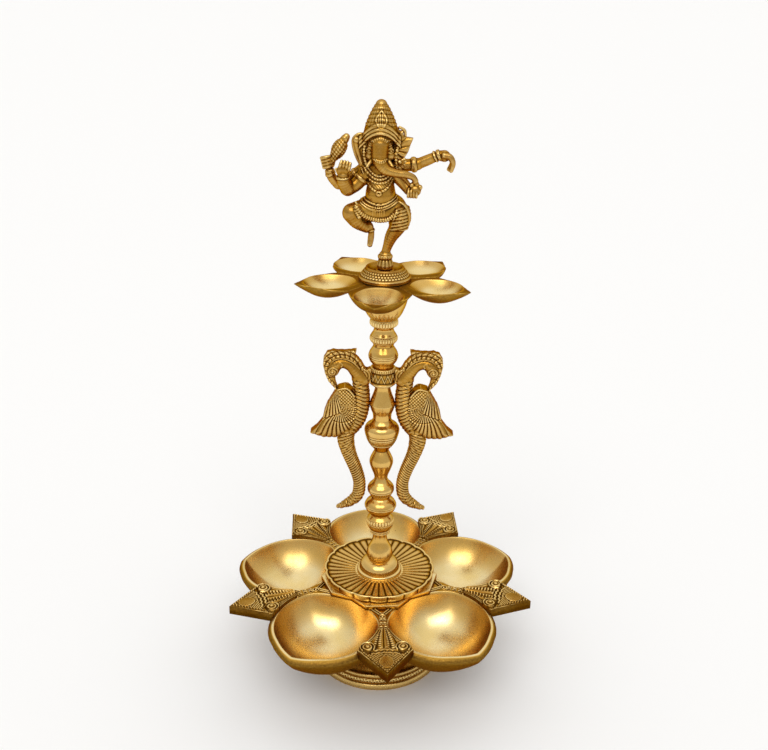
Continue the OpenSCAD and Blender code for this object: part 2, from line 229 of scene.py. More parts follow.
def add_piece(name, shell, body, nodes, material, cavity_depth=0.25, passes=6):
    """A shown piece from a shell in millimetres, riding on a body in place of the CAD nodes."""
    verts, faces = shell
    mesh = bpy.data.meshes.new(name)
    mesh.from_pydata((np.asarray(verts) * MM).tolist(), [], faces)
    mesh.update()
    mesh.polygons.foreach_set("use_smooth", np.ones(len(mesh.polygons), bool))
    obj = bpy.data.objects.new(name, mesh)
    bpy.context.scene.collection.objects.link(obj)
    store_cavity(mesh, cavity_depth, passes)
    mesh.materials.append(material)
    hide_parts(*nodes)
    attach(obj, body)
    return obj


def bottom(node):
    """Height of a CAD node's lowest point, in millimetres."""
    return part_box(node)[0].z / MM


def top(node):
    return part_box(node)[1].z / MM


# ---------------------------------------------------------------- materials


def node_of(tree, kind, **values):
    node = tree.nodes.new(kind)
    for key, value in values.items():
        if hasattr(node, key):
            setattr(node, key, value)
        else:
            node.inputs[key.replace("_", " ")].default_value = value
    return node


def mix_colour(tree, factor, a, b):
    """A colour mix whose factor, a and b are sockets or plain colours."""
    node = tree.nodes.new("ShaderNodeMix")
    node.data_type = "RGBA"
    for socket, value in ((node.inputs[0], factor), (node.inputs[6], a), (node.inputs[7], b)):
        if isinstance(value, bpy.types.NodeSocket):
            tree.links.new(value, socket)
        else:
            socket.default_value = value
    return node.outputs[2]


def remap(tree, value, low, high, to_low=0.0, to_high=1.0):
    node = tree.nodes.new("ShaderNodeMapRange")
    tree.links.new(value, node.inputs[0])
    for k, v in enumerate((low, high, to_low, to_high)):
        node.inputs[k + 1].default_value = v
    return node.outputs[0]


def brass(name, base, shade, patina_and_painted_shade, worn, roughness, grain, patina_and_shade_from=0.08, patina_and_shade_to=0.7,
          pits=0.0, turning=0.0, painted_reflection=None):
    """Brass that darkens in its recesses and brightens on its crests, by the stored values. Where outer walls
    and undersides were marked, the dark colour is painted shade, and the optional warm colour is a painted
    reflection on the sides of hollows.
    """
    material = bpy.data.materials.new(name)
    material.use_nodes = True
    tree = material.node_tree
    shader = tree.nodes["Principled BSDF"]
    shader.inputs["Specular Tint"].default_value = (0.45, 0.25, 0.08, 1)
    place = tree.nodes.new("ShaderNodeTexCoord").outputs["Object"]

    def noise(scale, detail, stretch=None):
        node = node_of(tree, "ShaderNodeTexNoise")
        node.inputs["Scale"].default_value = scale
        node.inputs["Detail"].default_value = detail
        if stretch:
            mapping = tree.nodes.new("ShaderNodeMapping")
            mapping.inputs["Scale"].default_value = stretch
            tree.links.new(place, mapping.inputs["Vector"])
            tree.links.new(mapping.outputs[0], node.inputs["Vector"])
        else:
            tree.links.new(place, node.inputs["Vector"])
        return node.outputs["Fac"]

    cavity_and_painted_light = node_of(tree, "ShaderNodeAttribute", attribute_name="cavity_and_painted_light").outputs["Fac"]
    broad = noise(45, 3)
    fine = noise(700, 4)
    colour = mix_colour(tree, remap(tree, broad, 0.38, 0.66), base, shade)
    dark_amount = remap(tree, cavity_and_painted_light, patina_and_shade_from, patina_and_shade_to)
    speckle = remap(tree, fine, 0.35, 0.7, 0.75, 1.0)
    multiply = node_of(tree, "ShaderNodeMath", operation="MULTIPLY")
    tree.links.new(dark_amount, multiply.inputs[0])
    tree.links.new(speckle, multiply.inputs[1])
    dark_amount = multiply.outputs[0]
    colour = mix_colour(tree, remap(tree, cavity_and_painted_light, -0.06, -0.6, 0.0, 0.85), colour, worn)
    # painted reflection: a warm colour where bounced light would fall on the sides of the bowls' hollows
    if painted_reflection:
        colour = mix_colour(tree, remap(tree, cavity_and_painted_light, 0.15, 0.5), colour, painted_reflection)
    # patina in the recesses, and painted shade on the outer walls and undersides marked for it
    colour = mix_colour(tree, dark_amount, colour, patina_and_painted_shade)
    if pits:
        cells = node_of(tree, "ShaderNodeTexVoronoi", feature="F1")
        cells.inputs["Scale"].default_value = 70
        tree.links.new(place, cells.inputs["Vector"])
        near = remap(tree, cells.outputs["Distance"], 0.05, 0.03)
        rare = remap(tree, cells.outputs["Color"], 0.80, 0.82)
        both = node_of(tree, "ShaderNodeMath", operation="MULTIPLY")
        tree.links.new(near, both.inputs[0])
        tree.links.new(rare, both.inputs[1])
        scaled = node_of(tree, "ShaderNodeMath", operation="MULTIPLY")
        tree.links.new(both.outputs[0], scaled.inputs[0])
        scaled.inputs[1].default_value = pits
        colour = mix_colour(tree, scaled.outputs[0], colour, patina_and_painted_shade)
    tree.links.new(colour, shader.inputs["Base Color"])
    shader.inputs["Metallic"].default_value = 1.0

    rough = remap(tree, fine, 0.3, 0.7, roughness - 0.05, roughness + 0.06)
    add = node_of(tree, "ShaderNodeMath", operation="MULTIPLY_ADD")
    tree.links.new(dark_amount, add.inputs[0])
    add.inputs[1].default_value = 0.25
    tree.links.new(rough, add.inputs[2])
    tree.links.new(add.outputs[0], shader.inputs["Roughness"])

    height = fine
    if turning:
        lines = noise(60, 2, (0.4, 0.4, 60))
        mixed = node_of(tree, "ShaderNodeMath", operation="MULTIPLY_ADD")
        tree.links.new(lines, mixed.inputs[0])
        mixed.inputs[1].default_value = turning
        tree.links.new(fine, mixed.inputs[2])
        height = mixed.outputs[0]
    bump = node_of(tree, "ShaderNodeBump")
    bump.inputs["Strength"].default_value = grain
    bump.inputs["Distance"].default_value = 0.0003
    tree.links.new(height, bump.inputs["Height"])
    tree.links.new(bump.outputs[0], shader.inputs["Normal"])
    return material


def steel(name):
    """Plain grey steel for the hidden fasteners."""
    material = bpy.data.materials.new(name)
    material.use_nodes = True
    tree = material.node_tree
    shader = tree.nodes["Principled BSDF"]
    shader.inputs["Metallic"].default_value = 1.0
    place = tree.nodes.new("ShaderNodeTexCoord").outputs["Object"]
    node = node_of(tree, "ShaderNodeTexNoise")
    node.inputs["Scale"].default_value = 300
    tree.links.new(place, node.inputs["Vector"])
    colour = mix_colour(tree, node.outputs["Fac"], (0.42, 0.42, 0.41, 1), (0.62, 0.61, 0.58, 1))
    tree.links.new(colour, shader.inputs["Base Color"])
    tree.links.new(remap(tree, node.outputs["Fac"], 0.3, 0.7, 0.28, 0.5), shader.inputs["Roughness"])
    bump = node_of(tree, "ShaderNodeBump")
    bump.inputs["Strength"].default_value = 0.2
    bump.inputs["Distance"].default_value = 0.0002
    tree.links.new(node.outputs["Fac"], bump.inputs["Height"])
    tree.links.new(bump.outputs[0], shader.inputs["Normal"])
    return material


POLISHED = brass("polished_brass", (0.78, 0.50, 0.15, 1), (0.66, 0.38, 0.08, 1), (0.10, 0.035, 0.006, 1),
                 (0.90, 0.68, 0.30, 1), 0.19, 0.03, turning=0.3)
# the satin brass's dark colour paints shade on the bowls' outer walls and undersides, and its warm colour
# paints a reflection on the sides of the hollows
SATIN = brass("satin_bowl_brass", (0.86, 0.70, 0.37, 1), (0.81, 0.61, 0.25, 1), (0.12, 0.055, 0.008, 1),
              (0.97, 0.84, 0.52, 1), 0.29, 0.05, patina_and_shade_from=0.5, patina_and_shade_to=1.0, pits=0.7,
              painted_reflection=(0.68, 0.38, 0.06, 1))
ANTIQUE = brass("antiqued_brass", (0.50, 0.26, 0.04, 1), (0.35, 0.155, 0.014, 1), (0.04, 0.014, 0.002, 1),
                (0.92, 0.68, 0.27, 1), 0.28, 0.3, patina_and_shade_from=0.02, patina_and_shade_to=0.3)
STEEL = steel("plain_steel")

# ---------------------------------------------------------------- turned pieces


def lathe(outline, columns=128, relief=None, step=0.6):
    """Closed surface of revolution through a loop of (radius, height) points."""
    loop = refine(list(outline) + [outline[0]], step)[:-1]
    points = np.array(loop)
    angle = circle_angles(columns)[None, :]
    radius = points[:, :1] + np.zeros_like(angle)
    height = points[:, 1:] + np.zeros_like(angle)
    if relief:
        radius = radius + relief(angle, height, radius)
    rings = np.stack([radius * np.cos(angle), radius * np.sin(angle), height], -1)
    return ring_surface(rings, loop=True)


def beads(middle, half, count, depth):
    """A row of round beads on a band."""
    def relief(angle, height, radius):
        return depth * (ridge(count * angle / 2) - 1) * arc_of(height - middle,
                                                               half) ** 0.5 * (radius > BORE_EDGE)
    return relief


def rope(middle, half, count, depth, lean=1.0):
    """A twisted rope on a band."""
    def relief(angle, height, radius):
        phase = count * angle / 2 + lean * (height - middle) / half * 1.4
        return depth * (ridge(phase) - 1) * arc_of(height - middle, half) ** 0.5 * (radius > BORE_EDGE)
    return relief


def groove(middle, half, depth):
    """A plain line cut round the piece."""
    def relief(angle, height, radius):
        return -depth * arc_of(height - middle, half) * (radius > BORE_EDGE)
    return relief


def all_of(*reliefs):
    def relief(angle, height, radius):
        return sum(r(angle, height, radius) for r in reliefs)
    return relief


def turned_piece(node, body, outline, bore, material=POLISHED, columns=144,
                 relief=None, step=0.6, cavity_depth=0.25, passes=6):
    """A turned section standing at its CAD node's seat, with a bore through it."""
    height = outline[-1][1]
    loop = list(outline) + [(bore, height), (bore, outline[0][1])]
    shell = moved(lathe(loop, columns, relief, step), z=bottom(node))
    return add_piece(node + "_turned", shell, body, [node], material, cavity_depth, passes)


STUD_BORE = 3.1
TIE_BORE = 4.1
FIGURE_BORE = 2.6
COLLAR_BORE = 5.9


def antiqued(node, shell, body, cavity_depth=0.35, passes=6):
    """A cast piece in antiqued brass in place of one CAD node."""
    add_piece(node + "_cast", shell, body, [node], ANTIQUE, cavity_depth, passes)


def make_foot():
    ring = curve([(50.2, 0), (51, 1.0), (51.1, 2.6), (50.4, 4.4), (49.2, 5.4), (48.7, 5.8)], 4)
    band = curve([(48.7, 5.8), (49.6, 6.3), (50.1, 7.6), (49.5, 9.0), (48.3, 9.7), (48.1, 10.1)], 4)
    thin_ring = curve([(48.1, 10.1), (48.9, 10.7), (49.0, 11.7), (48.2, 12.8), (46.6, 13.4), (45.6, 14.2)], 4)
    plate_z = top("foot_pedestal")
    cove = curve([(45.6, 14.2), (40, 21), (35.5, 29), (32.6, 37.5), (31, plate_z)])
    plate = [(TIE_BORE, plate_z), (TIE_BORE, plate_z - 3.5)]
    inside = curve([(28, plate_z - 3.5), (29.6, 36), (33, 27), (38.5, 16.5), (43.5, 7), (46, 0)])
    shell = lathe(join(ring, band, thin_ring, cove, plate, inside), 288, rope(7.6, 1.7, 120, 0.9), 0.6)
    antiqued("foot_pedestal", shell, "base", 0.25)


def make_base_cone():
    outline = join([(17.3, 0), (17.6, 0.3), (17.6, 1.5), (17.1, 2.2), (16.2, 2.6), (15.5, 2.7)],
                   curve([(15.5, 2.7), (15.5, 4.2), (14.6, 7.2), (12.4, 9.7), (9.6, 11.2), (8.6, 11.6)]))
    turned_piece("base_cone", "base", outline, TIE_BORE, relief=beads(0.9, 0.8, 64, 0.35), columns=192)


def make_pear():
    outline = curve([(8.6, 0), (9.9, 1.6), (10.3, 4.2), (9.2, 9.2), (6.5, 14.8), (5.45, 19.3), (5.35, 23)])
    turned_piece("pear_section", "base", outline, STUD_BORE)


def make_lower_stem():
    steps = [(7.2, 0), (7.6, 0.3), (7.6, 1.2), (7.1, 1.6), (7.1, 1.9), (8, 2.3), (8.2, 3), (7.9, 3.6)]
    ball = curve([(7.9, 3.6), (9.4, 5.6), (10.4, 8.4), (10.8, 11), (10.1, 13.4), (8.6, 15.2), (7.5, 16.3)])
    bulge = curve([(7.5, 16.3), (8.0, 17.8), (10.6, 20.4), (12.1, 23.4), (12.2, 25.6), (10.6, 28.4),
                   (8.2, 30.4), (7.2, 31.4)])
    relief = all_of(beads(11.4, 1.5, 26, 0.9), rope(8.2, 1.1, 40, 0.5), groove(9.8, 0.35, 0.4),
                    groove(13.2, 0.4, 0.4), groove(24.6, 0.4, 0.35))
    turned_piece("lower_stem", "lower_stem_body", join(steps, ball, bulge), STUD_BORE, relief=relief,
                 columns=208, step=0.4)


def make_middle_stem():
    ring = curve([(7.2, 0), (8.3, 2.6), (9.9, 5.4), (10.3, 7.4), (9.9, 9.6), (8.2, 12), (6.3, 14),
                  (4.95, 16.7)])
    vase = curve([(4.95, 16.7), (5.6, 20.1), (7.3, 24.5), (8.9, 29.6), (8.8, 33.1), (7.1, 37.3), (5.3, 40.7)])
    bulge = curve([(5.3, 40.7), (6.7, 43.2), (8.6, 45.4), (11, 49.4), (12.5, 54), (13.2, 58.4), (11.8, 61.7),
                   (8.6, 64.2), (6.9, 66.7)])
    upper = join(curve([(6.9, 66.7), (7.1, 70.9), (8.6, 75), (9.75, 79.1)]),
                 curve([(9.75, 79.1), (8.55, 83.1), (7.05, 87.2), (5.9, 91.2), (5.8, 94)]))
    seat = [(6.4, 94.4), (8, 94.6), (8, 95.4), (5.6, 95.4), (5.6, 109.1)]
    relief = all_of(beads(4.6, 1.7, 30, 0.8), groove(7.0, 0.35, 0.4), groove(47.4, 0.45, 0.6),
                    rope(49.3, 1.0, 52, 0.6), rope(51.6, 0.9, 56, 0.5), groove(53.1, 0.4, 0.5),
                    groove(55, 0.3, 0.3))
    turned_piece("middle_stem", "middle_stem_body", join(ring, vase, bulge, upper, seat), STUD_BORE,
                 relief=relief, columns=208, step=0.45)


def make_upper_stem():
    lower = curve([(7.2, 0), (8.4, 2.8), (10.1, 5.2), (11, 8.6), (10.2, 11.8), (8.8, 14.2), (7.3, 16.4)])
    knurl = curve([(7.3, 16.4), (8.2, 18.8), (9.9, 20.8), (10.3, 22.8), (9.4, 25), (7.9, 27.4), (7.2, 29.8),
                   (8.6, 32)])
    relief = all_of(beads(22.2, 1.8, 30, 0.8), groove(19.6, 0.35, 0.35), groove(24.7, 0.35, 0.35),
                    groove(7.8, 0.35, 0.3), groove(9.6, 0.35, 0.3))
    turned_piece("upper_stem", "upper_stem_body", join(lower, knurl), FIGURE_BORE, relief=relief,
                 columns=240, step=0.4)


def make_tray_cup():
    ring = [(8.8, 0), (9.6, 0.4), (10.4, 1.4), (10.5, 2.6), (10.3, 4), (9.6, 5), (9.5, 5.5)]
    bell = curve([(9.5, 5.5), (11.2, 7), (13, 9.6), (14.4, 12.8), (16, 17), (17.4, 23)])

    def fluted(angle, height, radius):
        flutes = 0.55 * (ridge(14 * angle) - 1) * np.clip((12.5 - height) / 3, 0, 1)
        return flutes * (height > 6.2) * (radius > BORE_EDGE)
    turned_piece("tray_cup", "upper_stem_body", join(ring, bell), FIGURE_BORE,
                 relief=all_of(beads(2.6, 1.9, 30, 0.9), fluted), columns=240, step=0.5)


def make_boss():
    outer = [(18.2, 0), (18.7, 0.4), (18.7, 2.2), (18.2, 2.8), (17.6, 3)]
    slope = curve([(17.6, 3), (17.1, 4.2), (15.8, 6), (14.4, 7.6), (13.8, 8)])
    ring = curve([(13.8, 8), (13.7, 8.8), (13, 9.3), (12.2, 9.1), (11.6, 8.4)])
    dish = curve([(11.6, 8.4), (10, 6.9), (8.4, 6.3), (7.2, 6.4), (6.8, 7.1), (6.4, 7.4)])

    def knurl(angle, height, radius):
        row = (height - 3.2) / 1.6
        on = (height > 3.2) * (height < 7.8) * (radius > 12.5)
        return 0.75 * (ridge(22 * angle + np.floor(row) * 1.2) * ridge(row * math.pi) - 1) * on
    turned_piece("tray_boss", "boss_body", join(outer, slope, ring, dish), FIGURE_BORE, ANTIQUE,
                 264, knurl, 0.35)


# ---------------------------------------------------------------- trays

PAD_HEIGHT = 3
BOWL_R = 72.2
BOWL_MOUTH = 38.9
BOWL_DEPTH = 29
BOWL_WALL = 4.4
BOWL_TILT = 3
BOWL_DROP = 2
TIP_R = 122


def nearest_turn(angle):
    """Angle folded to -180..180 degrees, in radians."""
    return (angle + math.pi) % (2 * math.pi) - math.pi


def cap_profile(mouth, depth, steps):
    """(share of the radius, height) from a cap's lowest point up to its rim."""
    sphere = (mouth ** 2 + depth ** 2) / (2 * depth)
    half = math.asin(mouth / sphere)
    if depth > mouth:
        half = math.pi - half
    return [(sphere * math.sin(half * t) / mouth, sphere - depth - sphere * math.cos(half * t))
            for t in np.linspace(0, 1, steps + 1)[1:]]


def bowl_shell(inner, outer, depth, wall, rim_width, shoulder, columns, steps, spout=0.0):
    """A bowl whose rim runs along inner(angle) and outer(angle); its hollow is a cap of the given depth."""
    angle = circle_angles(columns)
    turn = nearest_turn(angle)
    r_in, r_out = inner(turn), outer(turn)
    mean_in, mean_out = np.median(r_in), np.median(r_out)
    side = r_out - r_in - rim_width
    rows = []
    for share, height in cap_profile(mean_in, depth, steps):
        rows.append((share * (mean_in + (r_in - mean_in) * share ** 3), height, share ** 8))
    rows[-1] = (rows[-1][0], -0.25, 1)
    rows.append((r_in + 0.18, 0, 1))
    rows.append((r_in + rim_width * 0.6, 0.05, 1))
    rows.append((r_in + rim_width, -0.05, 1))
    for across, down in ((0.3, 0.12), (0.62, 0.32), (0.85, 0.6)):
        rows.append((r_in + rim_width + side * across, -shoulder * down - 0.1, 1))
    rows.append((r_out, -shoulder, 1))
    for share, height in reversed(cap_profile(mean_out, depth + wall - shoulder, steps)[:-1]):
        rows.append((share * (mean_out + (r_out - mean_out) * share ** 3), height - shoulder, share ** 8))
    fall = lip(turn, spout, 30)
    rings = [np.stack([r * np.cos(angle), r * np.sin(angle), z - fall * w], -1) for r, z, w in rows]
    return ring_surface(rings[::-1])


def lip(turn, reach, width_degrees, power=1.4):
    """A pointed swelling on the outward side of a bowl."""
    return reach * np.clip(1 - np.abs(turn) / math.radians(width_degrees), 0, 1) ** power


def large_bowl_inner(turn):
    """Inner edge of a large bowl's rim: pointed outwards and pulled in towards the hub."""
    pulled = 4.2 * smooth_step((np.degrees(np.abs(turn)) - 118) / 34)
    return BOWL_MOUTH + lip(turn, 3.0, 30, 1.2) - pulled


def hub_half_width(u):
    """Half the width of the strip between two large bowls at u from the axis."""
    pitch = math.radians(180 / BOWLS)
    turn = -np.radians(np.linspace(40, 178, 140))
    r = large_bowl_inner(turn)
    along = BOWL_R * math.cos(pitch) + r * np.cos(pitch + turn)
    across = BOWL_R * math.sin(pitch) + r * np.sin(pitch + turn)
    order = np.argsort(along)
    return np.interp(u, along[order], across[order])


KITE_START, KITE_WIDE, KITE_HALF = 69.0, 94.5, 20.0


def ornament_half_width(u):
    inner = np.minimum(hub_half_width(u) - 0.2, 4.0 + 0.66 * (u - KITE_START))
    inner = np.where(u < KITE_START, hub_half_width(u) - 0.2, inner)
    outer = KITE_HALF * (TIP_R - u) / (TIP_R - KITE_WIDE)
    return np.maximum(np.minimum(inner, outer), 0.25)


def kite_relief(u, v, edge):
    """Carving of the kite: a fan, two scroll bosses, wavy bands, bead rows and a hatched leaf."""
    side = np.abs(v)
    upper = u < 92.5
    h = np.where(upper, arc_of(edge - 0.8, 0.7, 0.8) + arc_of(edge - 2.6, 0.7, 0.7), 0)
    direction = np.arctan2(v, u - 63.5) * (1 + 0.01 * (u - 80))
    ray = ridge(direction * 15 + 0.6)
    cord = 1 + 0.35 * np.sin(u * 2.6) * (np.floor(direction * 15 / math.pi + 0.6) % 2)
    h = np.where((edge > 3.6) & (u < 93.2), 1.2 * ray * cord, h)
    # wavy bands under the fan
    wave = u - 0.45 * np.sin(v * 1.5) - 0.14 * side
    in_band = (edge > 1.2) & (side < 10.5)
    h = np.where(in_band & (u > 92.6) & (u < 102),
                 arc_of(wave - 94.2, 1.1, 1.2) + arc_of(wave - 97.4, 1.0, 1.0), h)
    # leaf towards the point, with small strokes beside it
    lower = (u > 99.5) & (edge > 0.4)
    stroke = ridge((u - 0.9 * side) * 1.5)
    h = np.where(lower & (edge > 3.0), 0.8 * stroke, h)
    leaf = np.hypot((u - 108.4) / 1.25, v)
    hatch = ridge((u + 0.8 * v) * 2.3)
    h = np.where(leaf < 5.2, 0.5 + arc_of(leaf, 5.2, 1.1) + 0.35 * hatch, h)
    h = np.where((leaf > 4.4) & (leaf < 5.2), 1.3, h)
    # bead rows along both sides of the point, and a thin line inside its edge
    bead = ridge((u - 0.4 * side) * math.pi / 2.5)
    h = np.where((u > 96) & (edge > 1.0) & (edge < 3.0), arc_of(edge - 2.0, 1.0, 1.5) * bead, h)
    h += np.where(u > 96, arc_of(edge - 0.5, 0.5, 0.5), 0)
    # scroll bosses in both corners, each inside a raised outer arc
    boss = np.hypot(u - 92.2, side - 13.0)
    h = np.where(boss < 5.9, arc_of(boss - 5.2, 0.8, 2.2) * (u < 95.5), h)
    h = np.where(boss < 4.3, arc_of(boss, 4.3, 2.5) + 0.3 * np.sin(boss * 2.4), h)
    return h


def strip_relief(u, v):
    """Carving of the strip towards the hub: a vee, a ringed bead and three pairs of small holes."""
    side = np.abs(v)
    vee = side - 0.85 * (50.5 - u)
    h = np.where(u < 51, arc_of(vee, 0.8, 0.9) + arc_of(vee - 2.6, 0.7, 0.8), 0)
    ring = np.hypot(u - 53.0, v)
    h = np.where(ring < 2.9, arc_of(ring - 2.2, 0.7, 0.5) - 0.9 * (ring < 1.7) + 1.5 * arc_of(ring, 1.0, 1),
                 h)
    for place, apart in ((57.4, 1.3), (61.8, 1.35), (66.4, 1.7)):
        hole = np.hypot(u - place, side - apart)
        h = np.where(hole < 1.6, -1.1 * np.clip((1.25 - hole) / 0.5, 0, 1) + 0.3 * (hole > 1.25), h)
    return h


def ornament_relief(u, v):
    """Height of the carved surface between two bowls, over its flat ground."""
    edge = ornament_half_width(u) - np.abs(v)
    return np.where(u > KITE_START, kite_relief(u, v, edge), strip_relief(u, v))


def ornament_shell():
    """One carved ornament with its strip, as a closed slab along +X with its ground at height 0."""
    start, ground_kite, floor = 38.0, 0.8, -6.5
    u = np.linspace(start, TIP_R, 226)[:, None]
    t = np.linspace(-1, 1, 101)[None, :]
    half = ornament_half_width(u)
    v = half * t
    uu = u + 0 * t
    rise = ground_kite * np.clip((uu - KITE_START + 2) / 3, 0, 1)
    height = rise - 0.5 + ornament_relief(uu, v)
    height -= 0.9 * np.clip(1 - (half - np.abs(v)) / 0.45, 0, 1)
    top_grid = np.stack([uu, v, height], -1)
    rows, columns = top_grid.shape[:2]
    low = np.stack([u + 0 * half, -half, floor + 0 * half],
                   -1), np.stack([u + 0 * half, half, floor + 0 * half], -1)
    grid = np.concatenate([low[0], top_grid, low[1]], 1)
    columns += 2
    verts = grid.reshape(-1, 3)
    index = np.arange(rows * columns).reshape(rows, columns)
    wrapped = np.concatenate([index, index[:, :1]], 1)
    quads = np.stack([wrapped[:-1, :-1], wrapped[1:, :-1], wrapped[1:, 1:], wrapped[:-1, 1:]],
                     -1).reshape(-1, 4)
    faces = quads.tolist()
    faces.append([int(i) for i in index[0]])
    faces.append([int(i) for i in index[-1][::-1]])
    return verts, faces


def hub_shell():
    """The hub plate, with a straight edge towards each ornament, and the round boss under it."""
    flat, half, notch = 44.5, 12.3, 39.4
    corners = []
    for k in range(BOWLS):
        turn = math.radians(LOWER_TURN - 90 + k * 360 / BOWLS)
        for x, y in ((flat, -half), (flat, half)):
            corners.append((x * math.cos(turn) - y * math.sin(turn), x * math.sin(turn) + y * math.cos(turn)))
        turn += math.radians(180 / BOWLS)
        corners.append((notch * math.cos(turn), notch * math.sin(turn)))
    plan = np.array(refine(corners + [corners[0]], 1.5)[:-1])
    way = plan / np.hypot(plan[:, 0], plan[:, 1])[:, None]
    rows = [(way * TIE_BORE, 3.0), (plan - way * 0.5, 3.0), (plan - way * 0.15, 2.9), (plan, 2.6),
            (plan, -0.8), (way * 34, -3.0), (way * 31, -7.6), (way * 31, -26.0), (way * TIE_BORE, -26.0)]
    rings = [np.column_stack([p, z + np.zeros(len(p))]) for p, z in rows[::-1]]
    return ring_surface(rings, loop=True)


def make_lower_tray():
    rim = top("lower_tray") - PAD_HEIGHT
    bowl = bowl_shell(large_bowl_inner, lambda t: BOWL_MOUTH + BOWL_WALL + 0.3 + lip(t, 3.4, 30, 1.2),
                      BOWL_DEPTH, BOWL_WALL, 1.5, 3.4, 180, 24, spout=1.2)
    bowl = moved(tilted(bowl, BOWL_TILT), x=BOWL_R, z=rim - BOWL_DROP)
    shell = merge(around(bowl, LOWER_TURN - 90 + 180 / BOWLS), moved(hub_shell(), z=rim))
    tray = add_piece("lower_tray_cast", shell, "base", ["lower_tray"], SATIN, 1.5)
    # painted shade on the bowls' outer walls and undersides, painted warm reflection on the sides of their
    # hollows
    paint_shade_and_warmth(tray, ring_of_centres(BOWL_R, LOWER_TURN - 90 + 180 / BOWLS), 0.95, BOWL_MOUTH, 0.4)
    ornaments = around(moved(ornament_shell(), z=rim), LOWER_TURN - 90)
    carved = add_piece("lower_tray_ornaments", ornaments, "base", ["lower_tray"],
                       ANTIQUE, 0.3, 8)
    # painted shade on the ornaments' outer side walls and undersides
    paint_shade_and_warmth(carved, ring_of_centres(90, LOWER_TURN - 90), 0.24)


def make_lotus_disc():
    """A dished disc of ribs running out to a scalloped edge of broad petals."""
    ribs, petals = 44, 20
    base = bottom("lotus_disc")
    angle = circle_angles(ribs * 9)
    petal = np.abs(np.cos(petals * angle / 2)) ** 0.4
    rib = ridge(ribs * angle / 2)
    rows = [(TIE_BORE + 0 * angle, 0.0), (35 + 0 * angle, 0.0)]
    for r, z in curve([(35, 0), (40.9, 0.6), (42.9, 2.2), (43.5, 4.4), (43.6, 6.2)], 4)[1:]:
        rows.append((r - 1.3 * (1 - petal), z))
    rows.append((43.4 - 1.3 * (1 - petal), 6.7 + 0.25 * petal))
    rows.append((42.9 - 1.3 * (1 - petal), 6.8 + 0.3 * petal))
    rows.append((42.2 - 1.3 * (1 - petal), 6.5 + 0.3 * petal))
    for share in np.linspace(1, 0, 30):
        r = 18.7 + (41.7 - 18.7) * share
        depth = 1.15 * min(1, share * 12 + 0.1, (1 - share) * 7 + 0.15)
        seam = 0.7 * max(0, share - 0.55) * (petal - 1)
        rows.append((r - 1.3 * (1 - petal) * share ** 4,
                     4.0 + 2.1 * share ** 1.3 + depth * (rib - 0.8) + seam))
    rows.append((18.0 + 0 * angle, 4.0 + 0 * angle))
    rows.append((TIE_BORE + 0 * angle, 4.0 + 0 * angle))
    rings = [np.stack([r * np.cos(angle), r * np.sin(angle), z + 0 * angle], -1) for r, z in rows]
    antiqued("lotus_disc", moved(ring_surface(rings, loop=True), z=base), "base", passes=8)


PETAL_R = 41.0
PETAL_MOUTH = 17.8
PETAL_WALL = 1.6
PETAL_TIP = 63.7
PETAL_DEPTH = 9.0


def petal_inner(turn):
    """Plan of a petal's hollow about its middle: a circle drawn out towards the axis."""
    return PETAL_MOUTH - 1.2 + 3.2 * smooth_step((np.abs(turn) - 1.9) / 1.0)


def petal_outer(turn):
    """Plan of a petal: a pointed leaf that meets its neighbours halfway round."""
    side = np.abs(turn)
    leaf = np.interp(np.degrees(side), [0, 7, 15, 32, 66, 96, 116, 180],
                     [PETAL_TIP - PETAL_R + 1.2, 22.0, 20.0, 17.9, 17.6, 20.3, 24.6, 40])
    half = math.pi / BOWLS
    wedge = PETAL_R * math.sin(half) / np.maximum(np.sin(np.clip(side - half, 0.3, 3)), 0.3)
    return np.minimum(np.minimum(leaf, wedge), 31)


def make_upper_tray():
    rim = top("upper_tray")
    petal = bowl_shell(petal_inner, petal_outer, PETAL_DEPTH, PETAL_WALL, 0.5, 0.7, 180, 14)
    petals = around(moved(petal, x=PETAL_R, z=rim), UPPER_TURN - 90)
    rows = [(FIGURE_BORE, -1.0), (18.5, -1.0), (19.5, -4.0), (21.5, -7.5), (18.4, -9.5), (17.6, -11.9),
            (FIGURE_BORE, -11.9)]
    angle = circle_angles(120)
    rings = [np.stack([r * np.cos(angle), r * np.sin(angle), z + 0 * angle], -1) for r, z in rows[::-1]]
    hub = moved(ring_surface(rings, loop=True), z=rim)
    tray = add_piece("upper_tray_cast", merge(petals, hub), "upper_tray_body", ["upper_tray"],
                     SATIN, 0.8)
    # painted shade on the petals' outer walls and undersides, painted warm reflection in their hollows, and
    # the flat metal between them darkened
    paint_shade_and_warmth(tray, ring_of_centres(PETAL_R, UPPER_TURN - 90), 0.85, PETAL_MOUTH, 0.4, 0.9)


# ---------------------------------------------------------------- modelled (cast) pieces


